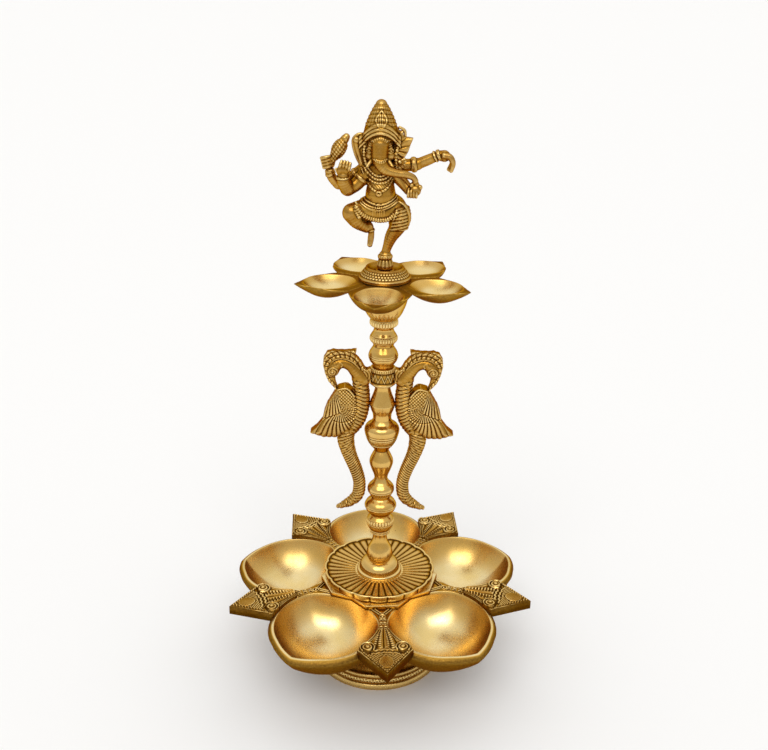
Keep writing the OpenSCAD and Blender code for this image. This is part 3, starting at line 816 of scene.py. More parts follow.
class Clay:
    """A solid modelled by adding and cutting forms on a grid of distances, in millimetres."""

    def __init__(self, low, high, cell):
        self.cell = cell
        self.axes = [np.arange(a, b + cell, cell) for a, b in zip(low, high)]
        self.field = np.full([len(a) for a in self.axes], 9.0, np.float32)

    def region(self, low, high):
        """The slices and coordinates of the grid between two corners."""
        cut = tuple(slice(int(np.searchsorted(a, l)), int(np.searchsorted(a, h)))
                    for a, l, h in zip(self.axes, low, high))
        return cut, np.meshgrid(*[a[c] for a, c in zip(self.axes, cut)], indexing="ij", sparse=True)

    def blend_in(self, low, high, form, soft):
        """Adds a form, given as a distance function, rounding the join by soft."""
        margin = soft + 2 * self.cell
        cut, (x, y, z) = self.region(np.array(low) - margin, np.array(high) + margin)
        old, new = self.field[cut], form(x, y, z)
        share = np.clip(0.5 + 0.5 * (old - new) / soft, 0, 1)
        self.field[cut] = old * (1 - share) + new * share - soft * share * (1 - share)

    def ball(self, x, z, y, radius, soft=0.3, flat=1.0):
        """A ball, or with flat under 1 a button thinner along y."""
        place = np.array([x, y, z])
        self.blend_in(place - radius, place + radius,
                      lambda a, b, c: np.sqrt((a - x) ** 2 + ((b - y) / flat) ** 2 + (c - z) ** 2) - radius,
                      soft)

    def limb(self, points, soft=0.6, relief=None, steps=4, squash=1.0):
        """A limb through points (x, z, radius, y); relief(length along, x, y, z) is cut into it."""
        p = np.array(curve(points, steps) if len(points) > 2 else points, float)
        radius = p[:, 2].max() + 0.5
        places = p[:, [0, 3, 1]]
        low, high = places.min(0) - radius, places.max(0) + radius

        def form(x, y, z):
            best, along, start = None, None, 0.0
            for a, b, ra, rb in zip(places, places[1:], p[:, 2], p[1:, 2]):
                way = b - a
                size = float(np.linalg.norm(way)) + 1e-6
                t = ((x - a[0]) * way[0] + (y - a[1]) * way[1] + (z - a[2]) * way[2]) / size ** 2
                t = np.clip(t, 0, 1)
                gap = np.sqrt((x - a[0] - t * way[0]) ** 2 + ((y - a[1] - t * way[1]) / squash) ** 2
                              + (z - a[2] - t * way[2]) ** 2) - (ra + (rb - ra) * t)
                if best is None:
                    best, along = gap, start + t * size
                else:
                    along = np.where(gap < best, start + t * size, along)
                    best = np.minimum(gap, best)
                start += size
            if relief is not None:
                best = best + relief(along, x, y, z)
            return best
        self.blend_in(low, high, form, soft)

    def plate(self, outline, half, edge, relief=None, soft=0.6, y=0.0):
        """A crowned plate of the given outline in x and z, half its thickness each side of y."""
        p = np.array(outline, float)
        low = np.array([p[:, 0].min() - 1, y - half - 1.5, p[:, 1].min() - 1])
        high = np.array([p[:, 0].max() + 1, y + half + 1.5, p[:, 1].max() + 1])

        def form(x, b, z):
            inside = outline_depth(p, x, z)
            crown = half - edge * (1 - np.sqrt(np.clip(1 - (1 - np.clip(inside / (2 * edge), 0, 1)) ** 2, 0,
                                                       1)))
            if relief is not None:
                crown = crown + relief(x, z)
            return np.maximum(np.abs(b - y) - crown, -inside)
        self.blend_in(low, high, form, soft)

    def beads(self, path, radius, spacing, soft=0.25, steps=8):
        """A string of beads along points (x, z, y)."""
        p = np.array(curve(path, steps), float)
        reach = np.concatenate([[0], np.cumsum(np.linalg.norm(np.diff(p, axis=0), axis=1))])
        for s in np.arange(0, reach[-1] + 0.01, spacing):
            x, z, y = (np.interp(s, reach, p[:, k]) for k in range(3))
            self.ball(x, z, y, radius, soft)

    def emboss(self, low, high, height):
        """Raises the surface by height(x, y, z) inside a box."""
        cut, (x, y, z) = self.region(low, high)
        self.field[cut] = self.field[cut] - height(x, y, z)

    def shell(self):
        """The closed surface where the distance is 0, by surface nets."""
        f, inside = self.field, self.field < 0
        n = np.array(f.shape) - 1
        corners = [(i, j, k) for i in (0, 1) for j in (0, 1) for k in (0, 1)]
        filled = sum(inside[i:n[0] + i, j:n[1] + j, k:n[2] + k].astype(np.int8) for i, j, k in corners)
        active = (filled > 0) & (filled < 8)
        cells = np.argwhere(active)
        index = np.full(active.shape, -1, np.int64)
        index[active] = np.arange(len(cells))
        total, hits = np.zeros((len(cells), 3)), np.zeros(len(cells))
        for axis in range(3):
            step = np.eye(3, dtype=int)[axis]
            for corner in corners:
                if corner[axis]:
                    continue
                start = cells + corner
                a = f[tuple(start.T)]
                b = f[tuple((start + step).T)]
                crosses = (a < 0) != (b < 0)
                share = np.where(crosses, a / np.where(crosses, a - b, 1), 0)
                total += np.where(crosses[:, None], np.array(corner) + share[:, None] * step, 0)
                hits += crosses
        origin = np.array([a[0] for a in self.axes])
        verts = origin + self.cell * (cells + total / hits[:, None])
        faces = []
        for axis in range(3):
            first, second = (axis + 1) % 3, (axis + 2) % 3
            keep = [slice(1, -1)] * 3
            keep[axis] = slice(None, -1)
            ahead = list(keep)
            ahead[axis] = slice(1, None)
            a, b = inside[tuple(keep)], inside[tuple(ahead)]
            for flip, change in ((False, a & ~b), (True, b & ~a)):
                node = np.argwhere(change)
                node[:, first] += 1
                node[:, second] += 1
                ring = []
                for u, v in ((1, 1), (0, 1), (0, 0), (1, 0)):
                    cell = node.copy()
                    cell[:, first] -= u
                    cell[:, second] -= v
                    ring.append(index[tuple(cell.T)])
                ring = np.stack(ring[::-1] if flip else ring, -1)
                faces += ring.tolist()
        return verts, faces


def outline_depth(p, x, z):
    """Distance to a closed outline in x and z, positive inside it."""
    nearest, crossings = None, 0
    for a, b in zip(p, np.roll(p, -1, 0)):
        way = b - a
        t = np.clip(((x - a[0]) * way[0] + (z - a[1]) * way[1]) / (way @ way), 0, 1)
        gap = (x - a[0] - t * way[0]) ** 2 + (z - a[1] - t * way[1]) ** 2
        nearest = gap if nearest is None else np.minimum(nearest, gap)
        if a[1] != b[1]:
            spans = (a[1] <= z) != (b[1] <= z)
            crossings = crossings + (spans & (x < a[0] + (z - a[1]) / (b[1] - a[1]) * way[0]))
    return np.sqrt(nearest) * np.where(crossings % 2 == 1, 1, -1)


def mirrored(shell):
    """The shell's mirror image in x."""
    verts, faces = shell
    return np.asarray(verts) * np.array([-1, 1, 1]), [face[::-1] for face in faces]


# ---------------------------------------------------------------- the peacocks


WING = [(33.5, 165), (28, 166.5), (23, 163.5), (19, 157.5), (17.6, 150), (18.4, 141), (22, 134), (27, 129),
        (34, 125.4), (44, 125.4), (54, 128.6), (49, 133), (44.6, 139), (43.2, 146), (41, 152), (37, 159)]
WING_ROOT = (30.5, 150.5)
LOBE_TOP = (36.5, 169)
CREST = [(12.6, 180), (16, 186), (20.4, 191), (19.4, 195.4), (23, 194.6), (30, 194.2), (37, 194.4), (41, 193),
         (43.6, 188.6), (44, 183), (42.6, 176.4), (40.2, 170.4), (36.8, 166), (33.6, 162.6), (35, 167.4),
         (38, 172.6), (39.6, 178), (38.8, 183), (36, 186.2), (31, 187.8), (25.4, 186.8), (20.4, 182.8),
         (16.4, 177.6)]
CREST_CENTRE = (30, 178)


def wing_relief(x, z):
    """Feathers of a folded wing: a long outer lobe, a flared lower row and a scaled shoulder."""
    dx, dz = x - WING_ROOT[0], z - WING_ROOT[1]
    reach = np.hypot(dx, dz)
    heading = np.arctan2(dz, dx) + 0.012 * reach
    flared = 1.5 * ridge(heading * 19, 0.5) - 1.0
    barbs = 0.25 * np.sin(reach * math.pi / 0.9) * (heading < -1.75)
    lobe_heading = np.arctan2(x - LOBE_TOP[0], LOBE_TOP[1] - z)
    lobe_floor = 146.8 - 0.42 * (x - 30)
    in_lobe = (z > lobe_floor) & (x > WING_ROOT[0] + 0.15 * (z - 150))
    lobe = 1.5 * ridge((lobe_heading + 0.2) * 30, 0.5) - 0.9
    scales = 0.8 * ridge((x + z) * 1.25, 0.5) * ridge((x - z) * 1.25, 0.5) - 0.2
    in_shoulder = (z > 152.5) & ~in_lobe
    relief = np.where(in_lobe, lobe, np.where(in_shoulder, scales, flared + barbs))
    seam = np.minimum(np.abs(z - lobe_floor) + 4 * (x < WING_ROOT[0]), 3)
    relief = relief - 0.9 * np.clip(1 - seam / 0.8, 0, 1)
    second = np.abs(reach - 11 - 0.8 * ridge(heading * 19, 1))
    relief = relief - 0.7 * np.clip(1 - second / 0.6, 0, 1) * (heading < -0.9) * ~in_lobe * ~in_shoulder
    return relief


def crest_relief(x, z):
    """Curled feathers side by side round the head, between two plain edges."""
    dx, dz = x - CREST_CENTRE[0], z - CREST_CENTRE[1]
    heading = np.arctan2(dz, dx)
    reach = np.hypot(dx, dz)
    curls = ridge(heading * 11 + reach * 0.22, 0.55)
    rows = ridge((reach - 10.4) * math.pi / 3.1, 0.6)
    return 1.25 * curls * rows - 0.55


def peacock_shell():
    """One peacock facing outwards along +x, its heights above the lower tray's rim."""
    clay = Clay((5, -9, 59), (58, 9, 200), 0.36)
    clay.limb([(26, 130, 6.2, 0), (27.2, 122, 6.4, 0), (24.4, 110, 5.4, 0), (19.4, 97, 4.9, 0),
               (16.6, 86, 4.7, 0), (17.6, 75, 4.7, 0), (24, 68, 3.8, 0), (32.5, 63.8, 1.8, 0)],
              relief=lambda s, x, y, z: 0.6 - 0.8 * ridge((s - 0.45 * x) * math.pi / 2.2, 0.6))
    clay.limb([(17.5, 172, 5.4, 0), (15.9, 163, 6.2, 0), (15.9, 151, 6.5, 0), (18.6, 139, 6.3, 0),
               (22.5, 132, 5.4, 0)],
              relief=lambda s, x, y, z: 0.7 - 0.9 * ridge((s + 0.3 * x) * math.pi / 2.9, 0.6))
    clay.plate(WING, 6.6, 3.0, wing_relief, soft=0.4)
    clay.limb([(14.3, 171.5, 5.6, 0), (18.5, 176.5, 5.4, 0), (23.5, 182.2, 4.6, 0), (29.5, 184.6, 4.4, 0),
               (34.5, 182.8, 4.9, 0), (37.2, 178.6, 5.2, 0)], soft=1.0)
    clay.limb([(38, 174.5, 2.8, 0), (36.4, 169.2, 1.9, 0), (33.2, 163.4, 1.0, 0)], soft=0.8)
    clay.plate(CREST, 3.0, 0.8, crest_relief, soft=0.4)
    for side in (-1, 1):
        # the eye, wound as a flat spiral, with a comma of feathers behind it
        clay.emboss((31, side * 4.5 - 4.5, 171), (44, side * 4.5 + 4.5, 186),
                    lambda x, y, z: eye_relief(x, z))
        clay.ball(36.9, 178.4, side * 5.0, 1.0)
        clay.limb([(33.4, 183.6, 0.8, side * 4.0), (31.6, 185.4, 0.8, side * 3.7),
                   (29.8, 184.4, 0.8, side * 3.9), (30.4, 182.6, 0.7, side * 4.0)], soft=0.3)
        clay.limb([(17.4, 181.0, 0.7, side * 3.2), (22.4, 186.2, 0.7, side * 3.1),
                   (29.4, 188.6, 0.7, side * 3.0), (36.2, 187, 0.7, side * 3.0),
                   (39.6, 181.6, 0.7, side * 2.8)], soft=0.25)
        clay.limb([(32.6, 164.6, 0.7, side * 5.2), (26, 165.6, 0.7, side * 5.4),
                   (20.8, 159.6, 0.7, side * 5.4)], soft=0.3)
    return clay.shell()


def eye_relief(x, z):
    dx, dz = x - 36.9, z - 178.4
    reach = np.hypot(dx, dz)
    spiral = ridge(reach * math.pi / 1.9 - np.arctan2(dz, dx) * 0.5, 0.6)
    return (0.7 * spiral - 0.45) * np.clip((4.9 - reach) / 0.6, 0, 1)


def make_peacocks():
    shell = moved(peacock_shell(), z=top("lower_tray") - PAD_HEIGHT)
    antiqued("peacock_right", shell, "peacock_body", passes=7)
    antiqued("peacock_left", mirrored(shell), "peacock_body", passes=7)


def make_collar():
    """The band that carries the peacocks, with its two arms."""
    outline = [(8.9, 0), (9.5, 0.5), (9.5, 1.3), (8.9, 1.9), (8.6, 2.4), (8.6, 10), (8.9, 10.6),
               (9.5, 11.1), (9.5, 12.9), (9, 13.4), (8.6, 13.6)]

    def motif(angle, height, radius):
        zigzag = np.abs(((angle * 11 / math.pi) % 2) - 1)
        line = np.clip(1 - np.abs((height - 3.4) / 5.6 - zigzag) * 5, 0, 1)
        on = (height > 2.6) * (height < 9.8) * (radius > 7)
        return (0.7 * line - 0.15) * on
    loop = outline + [(COLLAR_BORE, outline[-1][1]), (COLLAR_BORE, 0)]
    band = lathe(loop, 240, all_of(motif, beads(12, 1.2, 34, 0.5)), 0.5)
    clay = Clay((8, -5, -1), (16.5, 5, 15), 0.4)
    clay.plate([(8.4, 0.8), (12, 1.6), (14.6, 0.9), (14.6, 12.6), (12, 11.8), (8.4, 12.8)], 3.6, 1.0,
               lambda x, z: 0.45 * ridge((np.hypot(x - 15.6, z - 6.8) - 0.5) * math.pi / 2.1, 0.6) - 0.2)
    arm = clay.shell()
    shell = moved(merge(band, arm, mirrored(arm)), z=bottom("peacock_collar"))
    antiqued("peacock_collar", shell, "peacock_body", 0.3)


# ---------------------------------------------------------------- the dancing figure

FACE_X = -4.8


def raised(*places, half=1.1, rise=0.8):
    """Bracelets: rings raised on a limb at the given lengths along it."""
    def relief(s, x, y, z):
        return -sum(arc_of(s - p, half, rise) for p in places)
    return relief


def spun(clay, centre, profile, relief=None, soft=0.5):
    """A turned form about a vertical axis at centre (x, y), through points (radius, height)."""
    radius, height = np.array(profile, float).T
    reach = radius.max() + 1.5
    low = (centre[0] - reach, centre[1] - reach, height[0])
    high = (centre[0] + reach, centre[1] + reach, height[-1])

    def form(x, y, z):
        dx, dy = x - centre[0], y - centre[1]
        wall = np.interp(z, height, radius)
        if relief is not None:
            wall = wall + relief(np.arctan2(dx, -dy), z, wall)
        away = np.hypot(dx, dy) - wall
        return np.maximum(away * 0.85, np.maximum(height[0] - z, z - height[-1]))
    clay.blend_in(low, high, form, soft)


def strokes(x, z, centre, count, inner, outer, height):
    """Short strokes fanning out round a centre, between two distances from it."""
    dx, dz = x - centre[0], z - centre[1]
    reach = np.hypot(dx, dz)
    on = np.clip((reach - inner) / 0.7, 0, 1) * np.clip((outer - reach) / 0.7, 0, 1)
    return height * ridge(np.arctan2(dx, dz) * count / 2, 0.6) * on


def add_legs(clay):
    foot = curve([(4.8, 0), (5.8, 1.6), (5.7, 4.2), (4.7, 6.8)], 4) + [(4.4, 7.1), (5, 7.6), (5.3, 8.8),
                                                                       (5.1, 10),
                                                                      (4.2, 10.6), (4.2, 11.2), (3.3, 12.2)]

    def flutes(angle, z, wall):
        petals = 0.85 * (ridge(angle * 6, 0.5) - 0.8) * (z > 1.2) * (z < 6.9)
        links = 0.45 * (ridge(angle * 9, 0.5) - 0.8) * (z > 7.5) * (z < 10.2)
        return petals + links
    spun(clay, (0, 0), foot, flutes)
    clay.limb([(-0.2, 10.5, 3.1, 0), (1.4, 16, 3.3, 0), (4, 23.5, 4.5, -0.5), (7.4, 29.5, 5.6, -1),
               (8.6, 34, 6.8, -1), (7.6, 41, 8.2, -1), (1, 47, 8.6, 0)])
    clay.limb([(-5, 44.5, 8.4, -2), (-15, 43.2, 7.4, -5), (-23.4, 41.8, 6.3, -8)], soft=1.0)
    clay.limb([(-23.6, 41, 6.1, -8), (-19.8, 35.4, 4.9, -8), (-13.4, 31, 3.5, -7)], soft=1.2)
    clay.limb([(-11.4, 32, 2.9, -6.6), (-10, 28.2, 2.2, -6.4), (-10.2, 23.6, 2.2, -6.6),
               (-10.8, 19.4, 1.9, -7.6)], soft=0.8,
              relief=raised(2.8, half=0.9, rise=0.6))


def add_torso(clay):
    clay.limb([(-13, 45, 6.6, 0), (6, 45.5, 6.8, 0)], soft=2)
    clay.limb([(-4.4, 41.5, 6.2, -3.4), (-4, 47, 9, -1.5), (-4, 52.5, 10.4, -2.6), (-4, 60, 9.2, -1.4),
               (-4, 68, 9, 0)],
              soft=1.5)
    clay.limb([(-15, 69.5, 4.4, 0), (7, 69.5, 4.4, 0)], soft=2)

    def ornaments(x, y, z):
        front = np.clip((-1.5 - y) / 1.5, 0, 1)
        dx = x - FACE_X + 0.4
        h = np.zeros(np.broadcast_shapes(x.shape, y.shape, z.shape))
        for reach, half in ((9.0, 0.8), (11.2, 0.9), (13.6, 0.8), (18.8, 0.9)):
            away = np.hypot(dx * (1.05 if reach < 15 else 1.55), z - 76.2) - reach
            bead = 0.35 + 0.65 * ridge(np.arctan2(dx, 76.2 - z) * reach * math.pi / 2.0, 0.6)
            h = h + 0.85 * bead * arc_of(away, half) * (z < 72)
        inside = np.hypot(dx * 1.55, z - 76.2)
        h = h + 0.35 * ridge((x + z) * 1.6, 0.7) * (inside < 17.4) * (inside > 14.6) * (z < 68)
        pendant = np.hypot(dx, z - 56.2)
        h = h + arc_of(pendant, 2.2, 1.1) - arc_of(pendant, 0.8, 0.6)
        belt = z - 0.034 * dx ** 2
        for level in (48.2, 45.9, 44.2):
            h = h + arc_of(belt - level, 0.75, 0.8) * (np.abs(dx) < 13)
        buckle = np.hypot(dx, (z - 46.6) * 0.9)
        h = h + arc_of(buckle, 2.6) * ridge(buckle * 2)
        pleats = (z < 43.8) & (z > 39.4) & (np.abs(dx) < 4.6)
        return (h + 0.75 * ridge(dx * math.pi / 1.5, 0.5) * pleats) * front
    clay.emboss((-18, -16, 37), (12, 0, 74), ornaments)


def add_skirt(clay):
    """A short skirt with a beaded hem, striped where it wraps the standing thigh, and its hanging sash."""
    hem = [(-20.6, 47.5, 1.5, -13.2), (-16.6, 42, 1.6, -12.8), (-10.5, 38.6, 1.7, -11),
           (-3.5, 37.2, 1.7, -10.2), (2.6, 38.6, 1.6, -9.8), (6.6, 43, 1.4, -9.4)]
    clay.limb([(-13, 42.4, 6.6, -6), (-5, 41, 6.2, -4.6), (3, 42, 6.4, -3.4)], soft=1.5)
    clay.limb([(-14, 42.4, 3.8, -8.8), (-5, 40.2, 3.2, -7.4), (3, 41.8, 3.4, -5.8)], soft=1.2)
    clay.limb(hem, soft=0.4, relief=lambda s, x, y, z: 0.55 - 0.75 * ridge(s * math.pi / 1.7, 0.5))
    clay.limb([(p[0], p[1] + 2.6, 0.75, p[3] + 0.5) for p in hem[:-1]], soft=0.3)

    def stripes(x, y, z):
        tilt = z - 0.22 * (x - 8)
        on = np.clip((x - 2.4 - 0.25 * (z - 30)) / 0.8, 0, 1) * np.clip((z - 28.8) / 0.5, 0, 1)
        return (0.35 + 0.95 * ridge(tilt * math.pi / 2.45, 0.5)) * on * np.clip((46.5 - z) / 1.5, 0, 1)
    clay.emboss((2, -12, 28), (19, 11, 47), stripes)
    clay.limb([(8.4, 49.4, 1.0, -5), (12.8, 46.8, 1.3, -5.4), (15.2, 41.6, 1.6, -5), (15.8, 36.4, 1.5, -4.2),
               (14.6, 32.4, 1.1, -4)], soft=0.4, squash=1.6)
    # the skirt's edge on the raised thigh
    clay.limb([(-20.4, 48.6, 1.0, -6), (-21.2, 45.6, 1.1, -12.4), (-18.2, 40, 1.1, -14)], soft=0.4,
              relief=lambda s, x, y, z: 0.35 - 0.5 * ridge(s * math.pi / 1.6, 0.5))


def add_hand(clay, x, z, y, heading, spread, length, count=4, radius=1.05):
    """Fingers side by side from a palm at (x, z, y), all pointing along heading degrees in x and z."""
    a = math.radians(heading)
    along, across = (math.cos(a), math.sin(a)), (-math.sin(a), math.cos(a))
    for k in range(count):
        shift = (k - (count - 1) / 2) * spread
        reach = length * (1 - 0.07 * abs(k - 1.2))
        start = (x + across[0] * shift, z + across[1] * shift)
        end = (start[0] + along[0] * reach, start[1] + along[1] * reach)
        clay.limb([(*start, radius, y), ((start[0] + end[0]) / 2, (start[1] + end[1]) / 2, radius, y - 0.7),
                   (*end, radius * 0.8, y)], soft=0.2)


def add_arms(clay):
    # the front arm on the viewer's left, its palm raised
    clay.limb([(-14, 68, 4.9, 0), (-20, 60.6, 4.7, -2), (-26, 56.6, 4.2, -4.4)],
              relief=raised(6, half=1.3, rise=0.7))
    clay.limb([(-26.6, 57.6, 5.2, -4.8), (-29, 62.4, 4.7, -7), (-29.4, 67, 3.7, -8)],
              relief=raised(8.4, half=0.9))
    clay.ball(-29.6, 70.4, -8.6, 4.2, 0.5, 0.6)
    add_hand(clay, -28.8, 71.4, -9, 74, 2.0, 5.4, radius=1.3)
    clay.limb([(-32.4, 68.4, 1.2, -8.6), (-34.2, 71.4, 0.9, -9)], soft=0.3)
    # the arm behind it, holding a bud
    clay.limb([(-14, 71, 4.6, 3), (-24, 63.6, 4.0, 3.4), (-33, 58.8, 3.7, 3)],
              relief=raised(9, half=1.3, rise=0.7))
    clay.limb([(-33.4, 59, 3.6, 3), (-37.6, 64, 3.3, 1.4), (-39.2, 69.6, 2.6, 0.8)],
              relief=raised(9, 10.8, half=0.9))
    clay.ball(-39.4, 73.6, 0.2, 4.2, 0.6, 0.75)
    add_hand(clay, -43.4, 74, -1.6, 14, 2.1, 6.2, radius=1.35)
    clay.limb([(-37.4, 75.4, 2.4, -0.4), (-35.4, 78.6, 3.2, 0), (-33, 82.4, 4.9, 0), (-31.2, 85.8, 4.4, 0),
               (-29.6, 88.6, 2.6, 0)],
              relief=lambda s, x, y, z: 0.3 - 0.6 * ridge((x + z) * 1.15, 0.5) * ridge(
                  (x - z * 0.7) * 1.15, 0.5))
    clay.limb([(-29.8, 88.6, 2.9, 0), (-28.6, 90, 2.9, 0)], soft=0.2)
    clay.ball(-27.6, 91.4, 0, 2.4, 0.3)
    # the long arm on the viewer's right, its hand hanging from the wrist
    clay.limb([(6, 73, 4.6, 3), (13, 72.6, 4.3, 3), (20.4, 73.4, 4.2, 3)],
              relief=raised(12.4, half=2.0, rise=1.2))
    clay.limb([(21, 73.6, 3.7, 3), (28, 76.8, 3.6, 2), (35, 80.2, 3.1, 1), (37.6, 80.6, 2.6, 1)],
              relief=raised(13, 15.4, half=1.0, rise=0.9))
    clay.ball(38.8, 79.8, 0.6, 4.0, 0.8, 0.9)
    for k in range(3):
        y = -2.2 + 2.6 * k
        clay.limb([(38.6, 80.6, 2.1, y), (42.4, 79.6 - 0.4 * k, 2.2, y), (44.6, 75.4, 1.9, y),
                   (43.6 - 0.7 * k, 70.4, 1.4, y)],
                  soft=0.2)
    # the front arm on the viewer's right, closed round a heap of sweets
    clay.limb([(6, 67, 4.6, -1), (11.4, 61.4, 4.0, -3), (15, 57.6, 3.5, -5.4)])
    clay.limb([(15, 57.4, 3.2, -5.6), (18.2, 56.8, 2.8, -8.4)], relief=raised(2, half=0.9))
    clay.ball(19.4, 58, -9, 4.0, 0.6, 0.8)
    add_hand(clay, 17.4, 54, -11, 88, 1.8, 4.6)
    for place in ((17.2, 61.6), (20.2, 62.2), (22.4, 60.2), (19, 63.6)):
        clay.ball(*place, -9.2, 1.9, 0.15)


def add_head(clay):
    crown = [(11.6, 91), (11.8, 95), (10.8, 99), (9.4, 102.4), (8.0, 105.8), (6.4, 109), (4.9, 111.8),
             (4.0, 113.2), (3.7, 114.4), (2.8, 115.6), (1.2, 116.5)]

    def tiers(angle, z, wall):
        rings = 0.65 * (ridge((z + 0.9 * np.abs(angle) - 98.2) * math.pi / 2.5,
                              0.5) - 0.6) * (z > 100) * (z < 113)
        links = 0.3 * ridge(angle * 12, 0.6) * (z > 100) * (z < 113)
        return rings + links
    clay.limb([(FACE_X, 80.5, 9.0, -0.5), (FACE_X, 88, 9.8, -0.5), (FACE_X, 93, 9.8, 0)], soft=1)
    spun(clay, (FACE_X + 0.4, 0), crown, tiers)

    def headbands(x, y, z):
        level = z + 0.42 * y + 0.035 * (x - FACE_X) ** 2
        band = 0.45 + 0.9 * ridge((level - 89.4) * math.pi / 2.7, 0.5)
        return band * np.clip((level - 89.4) / 0.4, 0, 1) * np.clip((98.2 - level) / 0.4, 0, 1)
    clay.emboss((-19, -14, 83), (9, 13, 105), headbands)

    # a leaf on the crown's front, and the brow's small folds
    def leaf(x, y, z):
        dx, dz = x - FACE_X - 0.6, z - 104.2
        away = np.abs(dx) / 3.6 + np.abs(dz) ** 1.5 / 14
        border = arc_of(away - 1, 0.22)
        inner = 0.5 * ridge(dx * math.pi / 1.3, 0.6) * (away < 0.8)
        return (0.8 * border + inner) * (y < -1.5)
    clay.emboss((-12, -12, 97), (4, 0, 112), leaf)
    clay.emboss((-16, -14, 78), (7, -3, 94),
                lambda x, y, z: strokes(x, z, (FACE_X, 84.6), 34, 6.2, 9.0, 0.8) * (z > 84))
    for side in (-1, 1):
        # cheeks, eyes and tusks
        clay.ball(FACE_X + side * 6.4, 80.4, -5.4, 3.4, 1.2)
        clay.limb([(FACE_X + side * 5.2, 84.6, 0.7, -8.6), (FACE_X + side * 7.0, 85.6, 0.8, -7.4),
                   (FACE_X + side * 8.8, 84.2, 0.6, -6.0)], soft=0.2)
        clay.limb([(FACE_X + side * 5.4, 83.2, 0.6, -8.6), (FACE_X + side * 7.2, 82.4, 0.7, -7.8),
                   (FACE_X + side * 8.6, 83, 0.6, -6.4)], soft=0.2)
        clay.ball(FACE_X + side * 7, 83.8, -7.2, 1.1, 0.15)
        clay.limb([(FACE_X + side * 5.6, 77.4, 1.5, -8), (FACE_X + side * 8.4, 74, 1.1, -10)], soft=0.4)

    clay.limb([(FACE_X, 88, 5.8, -8), (FACE_X - 0.2, 81, 5.4, -9.2), (FACE_X + 0.4, 76.4, 4.6, -10.4),
               (FACE_X + 3.8, 72.2, 3.7, -12), (FACE_X + 10, 70.2, 3.0, -12.2),
               (FACE_X + 17, 69.2, 2.5, -11.6), (FACE_X + 22, 67.4, 2.2, -10.6),
               (FACE_X + 24.2, 65, 1.9, -10)], soft=1.2)
    clay.emboss((-14, -17, 74), (6, -6, 82),
                lambda x, y, z: strokes(x, z, (FACE_X + 0.5, 84), 30, 5.0, 7.6, 0.6) * (z < 79.5))


def add_ears(clay):
    def fold(x, z):
        return 0.9 * ridge((x + 0.22 * z) * math.pi / 4.2, 0.7) - 0.5
    left = [(-12, 93), (-17, 94.4), (-22, 92), (-23.8, 87.6), (-21.6, 80.4), (-18.2, 73.4), (-15.4, 69.6),
            (-12.6, 71), (-11, 82)]
    clay.plate(left, 2.3, 1.3, fold, soft=0.8, y=-0.5)
    clay.limb([(-14.6, 93.4, 1.1, -1.5), (-19.6, 93.4, 1.2, -1.5), (-23, 89.4, 1.2, -1.5),
               (-21.4, 80.4, 1.1, -1.5), (-17.6, 72.4, 1.0, -1.5)], soft=0.3)
    clay.ball(-20.8, 89.8, -2.4, 2.2, 0.3, 0.7)
    clay.beads([(-14.2, 90, -3.4), (-15.6, 83, -3.4), (-14.6, 76, -3.4), (-12.4, 71, -4)], 1.25, 2.0)
    right = [(3, 95), (6, 99.4), (8, 96.6), (10.4, 96.4), (11, 92.8), (17.4, 91.6), (15.6, 87), (14, 82),
             (10.6, 77), (6, 74.6), (2, 80)]
    clay.plate(right, 2.4, 1.2, lambda x, z: 0.9 * ridge(np.arctan2(x - 3, z - 84) * 7, 0.6) - 0.5,
               soft=0.8, y=-0.5)
    clay.beads([(5, 96, -3), (7.4, 92, -3.4), (7, 86, -4), (5.6, 80, -4.6), (6.4, 75, -5)], 1.35, 2.2)
    for angle in range(-150, 60, 30):
        a = math.radians(angle)
        clay.limb([(8.4, 76.4, 1.0, -5.4), (8.4 + 4 * math.cos(a), 76.4 + 4 * math.sin(a), 0.8, -4.6)],
                  soft=0.25)
    clay.ball(8.4, 76.4, -6, 1.5, 0.2)
    clay.limb([(8, 98.6, 1.0, -1), (11.4, 96.6, 1.0, -1), (12, 93.4, 0.9, -1)], soft=0.3)
    # locks of hair down the back
    for k in range(5):
        x = FACE_X - 6 + 3 * k
        clay.limb([(x, 90, 1.9, 7.5), (x * 1.05, 80, 2.0, 8.6), (x, 71, 1.5, 7)], soft=0.3)


def figure_shell():
    clay = Clay((-50, -19, -0.84), (51, 13.5, 118.5), 0.42)
    add_legs(clay)
    add_torso(clay)
    add_skirt(clay)
    add_arms(clay)
    add_ears(clay)
    add_head(clay)
    return clay.shell()


def make_figure():
    shell = moved(figure_shell(), z=bottom("dancing_figure"))
    antiqued("dancing_figure", shell, "figure_body")


# ---------------------------------------------------------------- making

make_foot()
make_lower_tray()
make_lotus_disc()
make_base_cone()
make_pear()
make_lower_stem()
make_middle_stem()
make_upper_stem()
make_tray_cup()
make_upper_tray()
make_boss()
make_collar()
make_peacocks()
make_figure()

for hidden in ("tie_washer", "tie_nut", "tie_stud", "lower_stud", "middle_stud", "upper_stud", "figure_stud",
               "peacock_rivets"):
    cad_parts[hidden].data.materials.clear()
    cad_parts[hidden].data.materials.append(STEEL)

# ---------------------------------------------------------------- floor, light and camera


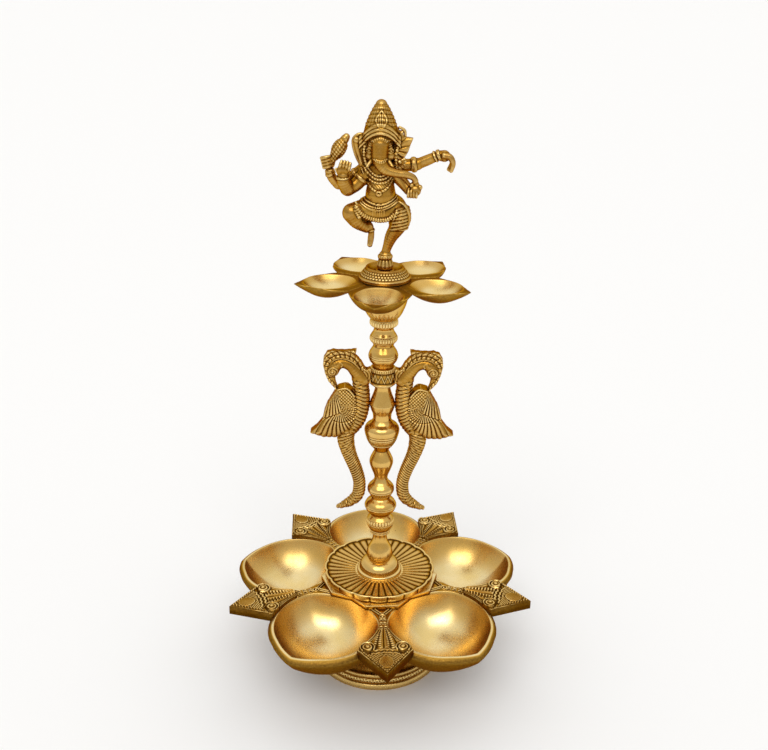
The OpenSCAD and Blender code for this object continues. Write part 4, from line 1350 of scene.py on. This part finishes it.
def make_floor():
    size = 40.0
    mesh = bpy.data.meshes.new("floor")
    mesh.from_pydata([(-size, -size, 0), (size, -size, 0), (size, size, 0), (-size, size, 0)], [],
                     [(0, 1, 2, 3)])
    floor = bpy.data.objects.new("floor", mesh)
    bpy.context.scene.collection.objects.link(floor)
    material = bpy.data.materials.new("pale_floor")
    material.use_nodes = True
    shader = material.node_tree.nodes["Principled BSDF"]
    shader.inputs["Base Color"].default_value = (0.9, 0.9, 0.9, 1)
    shader.inputs["Roughness"].default_value = 0.8
    mesh.materials.append(material)


def make_world():
    """A grey room with a broad bright wall behind the lamp and a paler ceiling."""
    world = bpy.data.worlds.new("studio")
    bpy.context.scene.world = world
    world.use_nodes = True
    tree = world.node_tree
    way = tree.nodes.new("ShaderNodeSeparateXYZ")
    tree.links.new(tree.nodes.new("ShaderNodeTexCoord").outputs["Generated"], way.inputs[0])
    wall = remap(tree, way.outputs[1], 0.0, 0.75, 0.62, 0.82)
    ceiling = remap(tree, way.outputs[2], 0.35, 0.95, 0.0, 0.35)
    add = node_of(tree, "ShaderNodeMath", operation="ADD")
    tree.links.new(wall, add.inputs[0])
    tree.links.new(ceiling, add.inputs[1])
    background = tree.nodes["Background"]
    background.inputs["Color"].default_value = (1, 0.99, 0.97, 1)
    tree.links.new(add.outputs[0], background.inputs["Strength"])


def make_sun(name, place, spread_degrees, power):
    """A very soft light from the direction of place."""
    data = bpy.data.lights.new(name, "SUN")
    data.energy = power
    data.angle = math.radians(spread_degrees)
    light = bpy.data.objects.new(name, data)
    bpy.context.scene.collection.objects.link(light)
    light.rotation_euler = Vector(place).to_track_quat("Z", "Y").to_euler()


def make_camera():
    rim = (top("lower_tray") - PAD_HEIGHT) * MM
    data = bpy.data.cameras.new("camera")
    data.sensor_width = 36
    data.lens = 48.02
    data.shift_x = -0.0094
    data.shift_y = -0.001
    camera = bpy.data.objects.new("camera", data)
    bpy.context.scene.collection.objects.link(camera)
    camera.location = (0, -0.6964, 0.4663 + rim)
    camera.rotation_euler = (math.radians(90 - 22.65), math.radians(-1.2), 0)
    bpy.context.scene.camera = camera


bpy.context.scene.view_settings.view_transform = "Standard"
make_floor()
make_world()
make_sun("left_window", (-0.24, -0.60, 0.76), 30, 0.55)
make_sun("right_window", (0.17, -0.62, 0.76), 28, 0.42)
make_camera()
